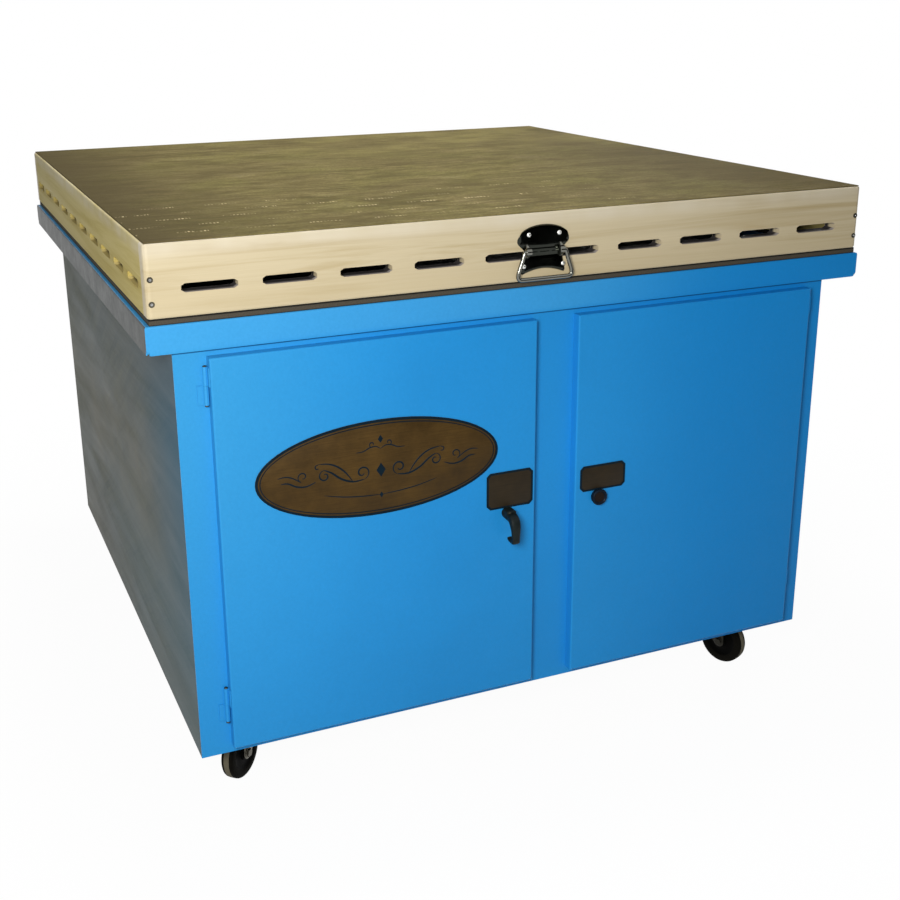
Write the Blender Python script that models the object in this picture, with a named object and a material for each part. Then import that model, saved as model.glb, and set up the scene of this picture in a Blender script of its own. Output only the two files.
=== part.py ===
"""Downdraft table: a slotted maple top that lifts off a painted steel cabinet on swivel casters.

Units are metres. X runs along the front, Y from front to back, Z up from the floor.
"""
import math

import bmesh
import bpy
from mathutils import Matrix, Vector

for old in list(bpy.data.objects):
    bpy.data.objects.remove(old, do_unlink=True)

# Clearances
GAP = 0.0003
OVERRUN = 0.002

# Wooden top
TOP_WIDTH = 1.2192
TOP_DEPTH = 1.2192
TABLE_HEIGHT = 0.9144
MAT_THICKNESS = 0.0024
APRON_HEIGHT = 0.1047
BOARD_THICKNESS = 0.0254
BOARD_EDGE_RADIUS = 0.003
BOARD_CORNER_RADIUS = 0.007
APRON_SLOTS = 10
APRON_SLOT_LENGTH = 0.082
APRON_SLOT_HEIGHT = 0.0127
APRON_SLOT_END = 0.0484
APRON_SLOT_DROP = 0.064
DECK_THICKNESS = 0.019
DECK_SLOT_LENGTH = 0.0508
DECK_SLOT_WIDTH = 0.0127
DECK_SLOT_PITCH = 0.1006
DECK_ROW_PITCH = 0.058
DECK_BORDER = 0.025
JOIST_HEIGHT = 0.045

# Rim and its gasket
RIM_SIDE_REACH = 0.005
RIM_HEIGHT = 0.0416
RIM_LEDGE = 0.100
RIM_BEND = 0.003
RIM_CORNER = 0.007
GASKET_THICKNESS = 0.0093
GASKET_WIDTH = 0.020
GASKET_SETBACK = 0.002

# Cabinet body
SHEET = 0.002
LEFT_OVERHANG = 0.0356
RIGHT_OVERHANG = 0.0682
BACK_OVERHANG = 0.0827
FRAME_SETBACK = 0.0048
CABINET_BOTTOM = 0.1053
FLOOR_PAN_UNDERSIDE = 0.118
FLOOR_PAN_FLANGE = 0.010
PANEL_RETURN = 0.020

# Doors
LEFT_STILE = 0.048
CENTRE_STILE = 0.0736
RIGHT_STILE = 0.0354
RIGHT_DOOR_WIDTH = 0.4513
DOOR_BOTTOM = 0.1197
DOOR_TOP_BELOW_RIM = 0.0094
DOOR_PROUD = 0.018
DOOR_SHEET = 0.0015
DOOR_LIP = 0.014
DOOR_BEND = 0.0025
DOOR_OVERLAP = 0.012
OPENING_RETURN = 0.018

# Door hinges
BARREL_RADIUS = 0.004
PIN_RADIUS = 0.002
HINGE_LENGTH = 0.057
HINGE_LEAF = 0.012
HINGE_LEAF_THICKNESS = 0.0015
HINGE_END_INSET = 0.014
HINGE_BOTTOM_INSET = 0.044
PIN_HEAD_RADIUS = 0.0028
PIN_HEAD_LENGTH = 0.002

# Latches
LATCH_INSET = 0.0507
LATCH_HEIGHT = 0.436
LATCH_REACH = 0.037
HUB_RADIUS = 0.010
HUB_LENGTH = 0.020
LEVER_WIDTH = 0.016
LEVER_DROP = 0.044
LEVER_THICKNESS = 0.008
LEVER_HOOK = 0.018
LEVER_HOOK_TIP = 0.004
LEVER_FOOT_WIDTH = 0.012
SPINDLE_RADIUS = 0.005
KNOB_INSET = 0.0432
KNOB_RADIUS = 0.014
KNOB_LENGTH = 0.009
KNOB_DISH = 0.003
CAM_LENGTH = 0.048
CAM_WIDTH = 0.016
CAM_THICKNESS = 0.003
CAM_CLEARANCE = 0.0008

# Chest handle
HANDLE_WIDTH = 0.088
HANDLE_WAIST = 0.066
HANDLE_FOOT = 0.078
HANDLE_HEIGHT = 0.072
HANDLE_ARCH = 0.012
HANDLE_FOOT_ARCH = 0.008
HANDLE_DROP = 0.022
HANDLE_PLATE = 0.0018
HANDLE_CORNER = 0.004
HANDLE_WAIST_DROP = 0.036
EAR_RADIUS = 0.0055
EAR_LENGTH = 0.009
BAIL_ROD_RADIUS = 0.0033
BAIL_WIDTH = 0.094
BAIL_LENGTH = 0.043
BAIL_CORNER = 0.010

# Rear hinge of the top
REAR_HINGE_LENGTH = 0.9
REAR_LEAF = 0.022

# Casters
CASTER_SIDE_INSET = 0.102
CASTER_END_INSET = 0.112
CASTER_TRAIL = 0.030
WHEEL_RADIUS = 0.0445
WHEEL_WIDTH = 0.022
WHEEL_CROWN = 0.004
HUB_HALF_WIDTH = 0.0125
WHEEL_HUB_RADIUS = 0.013
AXLE_RADIUS = 0.005
AXLE_HEAD_RADIUS = 0.008
AXLE_HEAD_LENGTH = 0.004
FORK_SHEET = 0.0028
FORK_LEG_WIDTH = 0.022
FORK_ROOT_SHARE = 0.8
FORK_TIP_SHARE = 0.95
FORK_FOOT_START = math.radians(225)
FORK_FOOT_END = math.radians(378)
FORK_CROWN_RADIUS = 0.027
FORK_CROWN_DEPTH = 0.010
RACE_RADIUS = 0.021
RACE_DEPTH = 0.005
KINGPIN_RADIUS = 0.006
KINGPIN_HEAD_RADIUS = 0.010
KINGPIN_HEAD_DEPTH = 0.003
CASTER_PLATE_LENGTH = 0.085
CASTER_PLATE_WIDTH = 0.062
CASTER_PLATE = 0.003
CASTER_BOLT_RADIUS = 0.004
CASTER_BOLT_INSET = 0.010
FRONT_LEFT_HEADING = math.radians(225)
FRONT_RIGHT_HEADING = math.radians(290)
BACK_LEFT_HEADING = math.radians(240)
BACK_RIGHT_HEADING = math.radians(262)

# Inside the cabinet
SHELF_BELOW_RIM = 0.002
SHELF_FLANGE = 0.012
CARTRIDGE_RADIUS = 0.150
CARTRIDGE_BORE = 0.095
PLEAT_DEPTH = 0.014
PLEATS = 16
CARTRIDGE_CAP = 0.012
CARTRIDGE_CAP_PLATE = 0.004
CARTRIDGE_CAP_LIP = 0.004
CARTRIDGE_SPACING = 0.42
CARTRIDGE_HEIGHT = 0.45
CARTRIDGE_END_ROOM = 0.100
TRAY_HEIGHT = 0.070
TRAY_SIDE_ROOM = 0.050
TRAY_END_ROOM = 0.110
TRAY_WALL = 0.0015
SCROLL_START_RADIUS = 0.145
SCROLL_END_RADIUS = 0.215
SCROLL_WIDTH = 0.140
SCROLL_CUTOFF = math.radians(20)
SCROLL_SIDE_ROOM = 0.085
SCROLL_BACK_ROOM = 0.340
SCROLL_FOOT = 0.020
SCROLL_FOOT_WIDTH = 0.180
INLET_RADIUS = 0.088
IMPELLER_RADIUS = 0.130
IMPELLER_WIDTH = 0.090
IMPELLER_DISC = 0.003
IMPELLER_HUB = 0.024
BLADES = 8
BLADE_THICKNESS = 0.003
BLADE_SWEEP = math.radians(50)
BLADE_ROOT_RADIUS = 0.048
SHROUD_RISE = 0.012
SHAFT_RADIUS = 0.011
MOTOR_RADIUS = 0.070
MOTOR_LENGTH = 0.210
MOTOR_FIN = 0.006
MOTOR_FINS = 10
MOTOR_FIN_FILL_SHARE = 0.9
MOTOR_NOSE_RADIUS = 0.038
MOTOR_BELL = 0.022
MOTOR_COWL = 0.050
MOTOR_COWL_RADIUS = 0.074
TERMINAL_BOX = 0.060
TERMINAL_BOX_HEIGHT = 0.035
MOTOR_BASE_SHEET = 0.003
MOTOR_SADDLE_SINK = 0.0015
MOTOR_SADDLE_WIDTH = 0.075
MOTOR_BASE_WIDTH = 0.150
MOTOR_BASE_LIP = 0.025
MOUTH_ROOM = 0.004
GRILLE_BORDER = 0.022
GRILLE_DEPTH = 0.008
GRILLE_BARS = 7
GRILLE_BAR = 0.0015
GRILLE_BAR_INSET = 0.00075
INLET_BOX_WIDTH = 0.080
INLET_BOX_HEIGHT = 0.060
INLET_BOX_DEPTH = 0.030
INLET_BOX_EDGE = 0.003
INLET_BOX_SIDE_INSET = 0.120
INLET_BOX_HEIGHT_UP = 0.250
GLAND_RADIUS = 0.010
GLAND_LENGTH = 0.016

# Levels worked out from the sizes above
APRON_TOP = TABLE_HEIGHT - MAT_THICKNESS
APRON_BOTTOM = APRON_TOP - APRON_HEIGHT
RIM_TOP = APRON_BOTTOM - GASKET_THICKNESS
RIM_BOTTOM = RIM_TOP - RIM_HEIGHT
BODY_TOP = RIM_TOP - SHEET - GAP
FLOOR_TOP = FLOOR_PAN_UNDERSIDE + SHEET
DOOR_TOP = RIM_BOTTOM - DOOR_TOP_BELOW_RIM

# Places along Y, with the overall depth centred on zero
LATCH_FRONT = LATCH_REACH + DOOR_PROUD - FRAME_SETBACK
REAR_REACH = GAP + BARREL_RADIUS + BARREL_RADIUS
TOP_FRONT = LATCH_FRONT - (LATCH_FRONT + TOP_DEPTH + REAR_REACH) / 2
TOP_BACK = TOP_FRONT + TOP_DEPTH
TOP_RIGHT = TOP_WIDTH / 2
RIM_RIGHT = TOP_RIGHT + RIM_SIDE_REACH
FRAME_FACE = TOP_FRONT + FRAME_SETBACK
FRAME_BACK = FRAME_FACE + SHEET
BODY_BACK = TOP_BACK - BACK_OVERHANG
BODY_LEFT = -RIM_RIGHT + LEFT_OVERHANG
BODY_RIGHT = RIM_RIGHT - RIGHT_OVERHANG
INNER_LEFT = BODY_LEFT + SHEET
INNER_RIGHT = BODY_RIGHT - SHEET
PANEL_FRONT = FRAME_BACK + GAP
PANEL_BACK = BODY_BACK - SHEET - GAP
DOOR_FACE = FRAME_FACE - DOOR_PROUD
DOOR_REAR = FRAME_FACE - GAP
LEFT_DOOR_LEFT = BODY_LEFT + LEFT_STILE
RIGHT_DOOR_RIGHT = BODY_RIGHT - RIGHT_STILE
RIGHT_DOOR_LEFT = RIGHT_DOOR_RIGHT - RIGHT_DOOR_WIDTH
LEFT_DOOR_RIGHT = RIGHT_DOOR_LEFT - CENTRE_STILE
OPENING_BOTTOM = DOOR_BOTTOM + DOOR_OVERLAP
OPENING_TOP = DOOR_TOP - DOOR_OVERLAP
PARTITION_X = (LEFT_DOOR_RIGHT + RIGHT_DOOR_LEFT) / 2
SHELF_TOP = RIM_BOTTOM - SHELF_BELOW_RIM
SHELF_UNDERSIDE = SHELF_TOP - SHEET
BODY_MIDDLE_Y = (FRAME_FACE + BODY_BACK) / 2

ROUND_STEPS = 24
WHEEL_STEPS = 16
FORK_STEPS = 12
SMALL_ROUND_STEPS = 8
TINY_ROUND_STEPS = 8
HEX_STEPS = 6
BEND_STEPS = 3
EDGE_STEPS = 2
SCROLL_STEPS = 20
BLADE_STEPS = 3
BOW_STEPS = 8
SLOT_END_STEPS = 3
SHARP_ANGLE = math.radians(32)


def material(name, colour, roughness, metallic=0.0):
    """A Principled material of one colour."""
    made = bpy.data.materials.new(name)
    made.use_nodes = True
    shader = made.node_tree.nodes["Principled BSDF"]
    shader.inputs["Base Color"].default_value = (*colour, 1.0)
    shader.inputs["Roughness"].default_value = roughness
    shader.inputs["Metallic"].default_value = metallic
    made.diffuse_color = (*colour, 1.0)
    return made


BLUE_PAINT = ("blue_paint", (0.028, 0.27, 0.66), 0.4)
SLATE_PAINT = ("slate_paint", (0.06, 0.085, 0.1), 0.45)
MAPLE = ("maple", (0.72, 0.56, 0.33), 0.5)
DECK_WOOD = ("deck_wood", (0.62, 0.45, 0.26), 0.6)
MAT = ("open_weave_mat", (0.16, 0.13, 0.06), 0.85)
GASKET = ("gasket_foam", (0.05, 0.045, 0.035), 0.9)
CHROME = ("chrome", (0.75, 0.75, 0.76), 0.1, 1.0)
BLACK_PLASTIC = ("black_plastic", (0.015, 0.015, 0.018), 0.4)
BLACK_RUBBER = ("black_rubber", (0.02, 0.02, 0.02), 0.7)
ZINC = ("zinc_plate", (0.55, 0.55, 0.53), 0.35, 1.0)
GALVANISED = ("galvanised_sheet", (0.5, 0.52, 0.54), 0.4, 1.0)
FILTER_MEDIA = ("filter_media", (0.75, 0.73, 0.66), 0.9)
MOTOR_GREY = ("motor_grey", (0.09, 0.1, 0.11), 0.5)
ALUMINIUM = ("aluminium", (0.7, 0.71, 0.72), 0.35, 1.0)
STEEL = ("bright_steel", (0.6, 0.6, 0.6), 0.25, 1.0)


def make_object(name, mesh_data, finish, origin=(0, 0, 0)):
    """Turns modelled geometry into a named object whose origin is where it turns or sits."""
    offset = Vector(origin)
    bmesh.ops.recalc_face_normals(mesh_data, faces=mesh_data.faces)
    bmesh.ops.translate(mesh_data, verts=mesh_data.verts, vec=-offset)
    mesh = bpy.data.meshes.new(name)
    mesh_data.to_mesh(mesh)
    mesh_data.free()
    mesh.shade_smooth()
    mesh.set_sharp_from_angle(angle=SHARP_ANGLE)
    if finish[0] in bpy.data.materials:
        mesh.materials.append(bpy.data.materials[finish[0]])
    else:
        mesh.materials.append(material(*finish))
    made = bpy.data.objects.new(name, mesh)
    made.location = offset
    bpy.context.scene.collection.objects.link(made)
    return made


def boolean(mesh_data, tool_data, operation):
    """Cuts or joins one closed shape with another and returns the result."""
    bodies = []
    for label, data in (("work", mesh_data), ("tool", tool_data)):
        bmesh.ops.recalc_face_normals(data, faces=data.faces)
        mesh = bpy.data.meshes.new(label)
        data.to_mesh(mesh)
        data.free()
        body = bpy.data.objects.new(label, mesh)
        bpy.context.scene.collection.objects.link(body)
        bodies.append(body)
    work, tool = bodies
    step = work.modifiers.new(operation, "BOOLEAN")
    step.operation = operation
    step.solver = "EXACT"
    step.object = tool
    evaluated = work.evaluated_get(bpy.context.evaluated_depsgraph_get())
    result = bmesh.new()
    result.from_mesh(evaluated.to_mesh())
    evaluated.to_mesh_clear()
    for body in bodies:
        mesh = body.data
        bpy.data.objects.remove(body, do_unlink=True)
        bpy.data.meshes.remove(mesh)
    bmesh.ops.dissolve_degenerate(result, dist=GAP / 100, edges=result.edges)
    return result


def cut(mesh_data, tool_data):
    return boolean(mesh_data, tool_data, "DIFFERENCE")


def join(mesh_data, tool_data):
    return boolean(mesh_data, tool_data, "UNION")


def arc(centre, radius, start, end, steps):
    """Points on a circle from one angle to another, both ends included."""
    points = []
    for step in range(steps + 1):
        angle = start + (end - start) * step / steps
        points.append((centre[0] + radius * math.cos(angle), centre[1] + radius * math.sin(angle)))
    return points


def on_axis(axis, along, across, up):
    """A point given by its distance along an axis and its two coordinates across it."""
    if axis == "X":
        return Vector((along, across, up))
    if axis == "Y":
        return Vector((across, along, up))
    return Vector((across, up, along))


def prism(outline, axis, low, high):
    """An outline pushed along an axis from low to high. It lies in YZ, XZ or XY."""
    data = bmesh.new()
    rings = []
    for along in (low, high):
        rings.append([data.verts.new(on_axis(axis, along, *point)) for point in outline])
    data.faces.new(rings[0])
    data.faces.new(rings[1])
    count = len(outline)
    for index in range(count):
        after = (index + 1) % count
        data.faces.new((rings[0][index], rings[0][after], rings[1][after], rings[1][index]))
    return data


def block(low, high):
    """A plain box between two corners, used for cutters and flat bars."""
    outline = [(low[0], low[1]), (high[0], low[1]), (high[0], high[1]), (low[0], high[1])]
    return prism(outline, "Z", low[2], high[2])


def turned(profile, axis, centre, steps, ring=False):
    """A profile of (radius, along) points turned about an axis through centre.

    A ring joins its last point to its first, like a tube. Otherwise both ends are capped.
    """
    data = bmesh.new()
    rows = []
    for radius, along in profile:
        if radius <= 0:
            rows.append([data.verts.new(on_axis(axis, along, *centre))])
            continue
        row = []
        for step in range(steps):
            angle = math.tau * step / steps
            across = centre[0] + radius * math.cos(angle)
            up = centre[1] + radius * math.sin(angle)
            row.append(data.verts.new(on_axis(axis, along, across, up)))
        rows.append(row)
    pairs = list(zip(rows, rows[1:]))
    if ring:
        pairs.append((rows[-1], rows[0]))
    for first, second in pairs:
        for step in range(steps):
            after = (step + 1) % steps
            if len(first) == 1:
                data.faces.new((first[0], second[step], second[after]))
            elif len(second) == 1:
                data.faces.new((first[step], first[after], second[0]))
            else:
                data.faces.new((first[step], first[after], second[after], second[step]))
    if not ring:
        for row in (rows[0], rows[-1]):
            if len(row) > 1:
                data.faces.new(row)
    return data


def clear_bore(radius, steps):
    """Corner radius of a faceted bore whose flats clear a round of this radius."""
    return (radius + GAP) / math.cos(math.pi / steps)


def rectangle_loft(low, high, axis, stations, ring=False):
    """Rectangles joined along an axis, each a station of (inset, along).

    Capped at both ends it is a pan, tray or edge-rounded plate, and as a ring it is a frame.
    """
    data = bmesh.new()
    rows = []
    for inset, along in stations:
        corners = (
            (low[0] + inset, low[1] + inset),
            (high[0] - inset, low[1] + inset),
            (high[0] - inset, high[1] - inset),
            (low[0] + inset, high[1] - inset),
        )
        rows.append([data.verts.new(on_axis(axis, along, *corner)) for corner in corners])
    pairs = list(zip(rows, rows[1:]))
    if ring:
        pairs.append((rows[-1], rows[0]))
    for first, second in pairs:
        for index in range(4):
            after = (index + 1) % 4
            data.faces.new((first[index], first[after], second[after], second[index]))
    if not ring:
        data.faces.new(rows[0])
        data.faces.new(rows[-1])
    return data


def swept_rod(path, radius, steps):
    """A round rod along a flat path in the XZ plane, with mitred turns and flat ends."""
    data = bmesh.new()
    rows = []
    side = Vector((0, 1, 0))
    for index, point in enumerate(path):
        before = path[max(index - 1, 0)]
        after = path[min(index + 1, len(path) - 1)]
        along = (Vector(after) - Vector(before)).normalized()
        across = along.cross(side).normalized()
        row = []
        for step in range(steps):
            angle = math.tau * step / steps
            offset = side * radius * math.cos(angle) + across * radius * math.sin(angle)
            row.append(data.verts.new(Vector(point) + offset))
        rows.append(row)
    for first, second in zip(rows, rows[1:]):
        for step in range(steps):
            after = (step + 1) % steps
            data.faces.new((first[step], first[after], second[after], second[step]))
    data.faces.new(rows[0])
    data.faces.new(rows[-1])
    return data


def merged(*shapes):
    """Several separate shapes in one mesh, for a cutter that cuts them all at once."""
    whole = bmesh.new()
    for shape in shapes:
        mesh = bpy.data.meshes.new("shape")
        bmesh.ops.recalc_face_normals(shape, faces=shape.faces)
        shape.to_mesh(mesh)
        shape.free()
        whole.from_mesh(mesh)
        bpy.data.meshes.remove(mesh)
    return whole


def placed(data, turn, centre):
    """Turns a shape about the vertical through the origin, then moves it to centre."""
    bmesh.ops.transform(data, verts=data.verts, matrix=Matrix.Rotation(turn, 4, "Z"))
    bmesh.ops.translate(data, verts=data.verts, vec=Vector(centre))
    return data


# Wooden top
def slot_outline(centre_along, centre_up, length, height):
    """A long slot with half-round ends, standing in the plane of an apron."""
    radius = height / 2
    reach = length / 2 - radius
    right = arc((centre_along + reach, centre_up), radius, -math.pi / 2, math.pi / 2, SLOT_END_STEPS)
    left = arc((centre_along - reach, centre_up), radius, math.pi / 2, math.pi * 3 / 2, SLOT_END_STEPS)
    return right + left


def apron_slots(start, end, axis, low, high):
    """The row of slot cutters through one apron board."""
    first = start + APRON_SLOT_END + APRON_SLOT_LENGTH / 2
    last = end - APRON_SLOT_END - APRON_SLOT_LENGTH / 2
    height = APRON_TOP - APRON_SLOT_DROP
    shapes = []
    for index in range(APRON_SLOTS):
        centre = first + (last - first) * index / (APRON_SLOTS - 1)
        outline = slot_outline(centre, height, APRON_SLOT_LENGTH, APRON_SLOT_HEIGHT)
        shapes.append(prism(outline, axis, low - OVERRUN, high + OVERRUN))
    return merged(*shapes)


def edge_stations(low, high, radius):
    """Stations of (inset, along) from low to high with both ends rounded."""
    ends = []
    for step in range(EDGE_STEPS + 1):
        angle = math.pi / 2 * step / EDGE_STEPS
        ends.append((radius - radius * math.sin(angle), radius - radius * math.cos(angle)))
    upper = [(inset, high - along) for inset, along in reversed(ends)]
    return [(inset, low + along) for inset, along in ends] + upper


def make_front_apron(name, outer, inward):
    """Front or back board: full width, with rounded upright corners and softened long edges."""
    inner = outer + inward * BOARD_THICKNESS
    corner_x = TOP_RIGHT - BOARD_CORNER_RADIUS
    corner_y = outer + inward * BOARD_CORNER_RADIUS
    data = bmesh.new()
    rows = []
    for inset, level in edge_stations(APRON_BOTTOM, APRON_TOP, BOARD_EDGE_RADIUS):
        quarter = arc((0, 0), BOARD_CORNER_RADIUS - inset, 0, math.pi / 2, BEND_STEPS)
        right = [(corner_x + across, corner_y - inward * along) for across, along in quarter]
        left = [(-across, along) for across, along in right[::-1]]
        outline = [(TOP_RIGHT - inset, inner)] + right + left + [(-TOP_RIGHT + inset, inner)]
        rows.append([data.verts.new((*point, level)) for point in outline])
    for first, second in zip(rows, rows[1:]):
        for index in range(len(first)):
            after = (index + 1) % len(first)
            data.faces.new((first[index], first[after], second[after], second[index]))
    data.faces.new(rows[0])
    data.faces.new(rows[-1])
    low, high = sorted((outer, inner))
    board = cut(data, apron_slots(-TOP_RIGHT, TOP_RIGHT, "Y", low, high))
    make_object(name, board, MAPLE, (0, outer, APRON_BOTTOM))


def make_side_apron(name, outer, inward):
    """Side board: butts between front and back boards, long outer edges softened."""
    inner = outer + inward * BOARD_THICKNESS
    stations = edge_stations(APRON_BOTTOM, APRON_TOP, BOARD_EDGE_RADIUS)
    outline = [(inner, APRON_BOTTOM)] + [(outer + inward * inset, level) for inset, level in stations]
    outline.append((inner, APRON_TOP))
    start = TOP_FRONT + BOARD_THICKNESS + GAP
    board = prism(outline, "Y", start, TOP_BACK - BOARD_THICKNESS - GAP)
    low, high = sorted((outer, inner))
    board = cut(board, apron_slots(TOP_FRONT, TOP_BACK, "X", low, high))
    make_object(name, board, MAPLE, (outer, 0, APRON_BOTTOM))


def make_deck():
    """Deck board between the aprons, with staggered rows of slots."""
    left = -TOP_RIGHT + BOARD_THICKNESS + GAP
    front = TOP_FRONT + BOARD_THICKNESS + GAP
    back = TOP_BACK - BOARD_THICKNESS - GAP
    low = (left, front, APRON_TOP - DECK_THICKNESS)
    high = (-left, back, APRON_TOP)
    rows = int((back - front - DECK_BORDER * 2) / DECK_ROW_PITCH) + 1
    first_row = (front + back) / 2 - DECK_ROW_PITCH * (rows - 1) / 2
    span = -left * 2 - DECK_BORDER * 2 - DECK_SLOT_LENGTH - DECK_SLOT_PITCH / 2
    columns = int(span / DECK_SLOT_PITCH) + 1
    shapes = []
    for row in range(rows):
        stagger = DECK_SLOT_PITCH / 4 if row % 2 else -DECK_SLOT_PITCH / 4
        first = stagger - DECK_SLOT_PITCH * (columns - 1) / 2
        centre_y = first_row + DECK_ROW_PITCH * row
        for column in range(columns):
            centre_x = first + DECK_SLOT_PITCH * column
            shapes.append(block(
                (centre_x - DECK_SLOT_LENGTH / 2, centre_y - DECK_SLOT_WIDTH / 2, low[2] - OVERRUN),
                (centre_x + DECK_SLOT_LENGTH / 2, centre_y + DECK_SLOT_WIDTH / 2, high[2] + OVERRUN),
            ))
    board = cut(block(low, high), merged(*shapes))
    make_object("slotted_deck", board, DECK_WOOD, (0, 0, low[2]))
    joist_y = first_row + DECK_ROW_PITCH * (rows // 2) - DECK_ROW_PITCH / 2
    joist = block(
        (left, joist_y - BOARD_THICKNESS / 2, low[2] - GAP - JOIST_HEIGHT),
        (-left, joist_y + BOARD_THICKNESS / 2, low[2] - GAP),
    )
    make_object("deck_joist", joist, MAPLE, (0, joist_y, low[2]))


def make_mat():
    """Thin sheet over the whole top."""
    stations = [
        (0, APRON_TOP + GAP),
        (0, TABLE_HEIGHT - MAT_THICKNESS / 2),
        (MAT_THICKNESS / 2, TABLE_HEIGHT),
    ]
    inset = BOARD_EDGE_RADIUS
    sheet = rectangle_loft(
        (-TOP_RIGHT + inset, TOP_FRONT + inset), (TOP_RIGHT - inset, TOP_BACK - inset), "Z", stations)
    make_object("top_mat", sheet, MAT, (0, 0, APRON_TOP))


def make_top():
    make_front_apron("apron_front", TOP_FRONT, 1)
    make_front_apron("apron_back", TOP_BACK, -1)
    make_side_apron("apron_left", -TOP_RIGHT, 1)
    make_side_apron("apron_right", TOP_RIGHT, -1)
    make_deck()
    make_mat()


# Rim and gasket
def corner_waste(edge, inward):
    """Outline of what a rounding takes off the skirt's lower corner.

    Edge is the corner's place along the outline, and inward the sign of travel away from it.
    """
    centre = (edge + inward * RIM_CORNER, RIM_BOTTOM + RIM_CORNER)
    side = math.pi if inward > 0 else 0
    outside = edge - inward * OVERRUN
    under = RIM_BOTTOM - OVERRUN
    curve = arc(centre, RIM_CORNER, side, side + inward * math.pi / 2, BEND_STEPS)
    return curve + [(centre[0], under), (outside, under), (outside, centre[1])]


def make_rim():
    """Formed rim: a ledge that carries the top and a skirt that hangs outside the cabinet."""
    low = (-RIM_RIGHT, TOP_FRONT)
    high = (RIM_RIGHT, TOP_BACK)
    bend = [(RIM_BEND - x, z) for x, z in arc((0, RIM_TOP - RIM_BEND), RIM_BEND, 0, math.pi / 2, BEND_STEPS)]
    stations = [(0, RIM_BOTTOM)] + bend + [
        (RIM_LEDGE, RIM_TOP),
        (RIM_LEDGE, RIM_TOP - SHEET),
        (SHEET, RIM_TOP - SHEET),
        (SHEET, RIM_BOTTOM),
    ]
    rim = rectangle_loft(low, high, "Z", stations, ring=True)
    across = []
    lengthwise = []
    for side in (-1, 1):
        for end, inward in ((TOP_FRONT, 1), (TOP_BACK, -1)):
            near, far = sorted((end - inward * OVERRUN, end + inward * (SHEET + OVERRUN)))
            across.append(prism(corner_waste(side * RIM_RIGHT, -side), "Y", near, far))
            near, far = sorted((side * (RIM_RIGHT + OVERRUN), side * (RIM_RIGHT - SHEET - OVERRUN)))
            lengthwise.append(prism(corner_waste(end, inward), "X", near, far))
    rim = cut(cut(rim, merged(*across)), merged(*lengthwise))
    make_object("top_rim", rim, BLUE_PAINT, (0, 0, RIM_TOP))
    base = RIM_TOP + GAP
    crest = APRON_BOTTOM - GAP
    stations = [
        (GASKET_SETBACK, base),
        (GASKET_SETBACK, crest),
        (GASKET_SETBACK + GASKET_WIDTH, crest),
        (GASKET_SETBACK + GASKET_WIDTH, base),
    ]
    strip = rectangle_loft((-TOP_RIGHT, TOP_FRONT), (TOP_RIGHT, TOP_BACK), "Z", stations, ring=True)
    make_object("rim_gasket", strip, GASKET, (0, 0, base))


# Cabinet body
def make_front_frame():
    """Face sheet with two door openings, each with a flange bent back round it."""
    face = block((BODY_LEFT, FRAME_FACE, CABINET_BOTTOM), (BODY_RIGHT, FRAME_BACK, BODY_TOP))
    openings = []
    flanges = []
    for left, right in ((LEFT_DOOR_LEFT, LEFT_DOOR_RIGHT), (RIGHT_DOOR_LEFT, RIGHT_DOOR_RIGHT)):
        low = (left + DOOR_OVERLAP, OPENING_BOTTOM)
        high = (right - DOOR_OVERLAP, OPENING_TOP)
        openings.append(rectangle_loft(low, high, "Y", [
            (0, FRAME_FACE - OVERRUN), (0, FRAME_BACK + OVERRUN)]))
        outer_low = (low[0] - SHEET, low[1] - SHEET)
        outer_high = (high[0] + SHEET, high[1] + SHEET)
        flanges.append(rectangle_loft(outer_low, outer_high, "Y", [
            (0, FRAME_BACK - SHEET / 2),
            (0, FRAME_FACE + OPENING_RETURN),
            (SHEET, FRAME_FACE + OPENING_RETURN),
            (SHEET, FRAME_BACK - SHEET / 2),
        ], ring=True))
    face = cut(face, merged(*openings))
    make_object("front_frame", join(face, merged(*flanges)), BLUE_PAINT, (0, FRAME_FACE, CABINET_BOTTOM))


def channel(outer, inner, inward, start, end, reach):
    """Plan outline of a panel with a return at each end. Inward is the sign of travel inside."""
    tip = outer + inward * reach
    return [
        (outer, start), (tip, start), (tip, start + SHEET), (inner, start + SHEET),
        (inner, end - SHEET), (tip, end - SHEET), (tip, end), (outer, end),
    ]


def make_panels():
    """Side panels with returns behind the front frame and back panel, and the back panel."""
    for name, outer, inward in (("left_panel", BODY_LEFT, 1), ("right_panel", BODY_RIGHT, -1)):
        outline = channel(outer, outer + inward * SHEET, inward, PANEL_FRONT, PANEL_BACK, PANEL_RETURN)
        panel = prism(outline, "Z", CABINET_BOTTOM, BODY_TOP)
        make_object(name, panel, SLATE_PAINT, (outer, PANEL_FRONT, CABINET_BOTTOM))
    sheet = block((BODY_LEFT, BODY_BACK - SHEET, CABINET_BOTTOM), (BODY_RIGHT, BODY_BACK, BODY_TOP))
    low, high = duct_mouth()
    room = SHEET + MOUTH_ROOM
    hole = rectangle_loft(
        (low[0] - room, low[1] - room), (high[0] + room, high[1] + room), "Y",
        [(0, BODY_BACK - SHEET - OVERRUN), (0, BODY_BACK + OVERRUN)])
    make_object("back_panel", cut(sheet, hole), SLATE_PAINT, (0, BODY_BACK, CABINET_BOTTOM))


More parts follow.
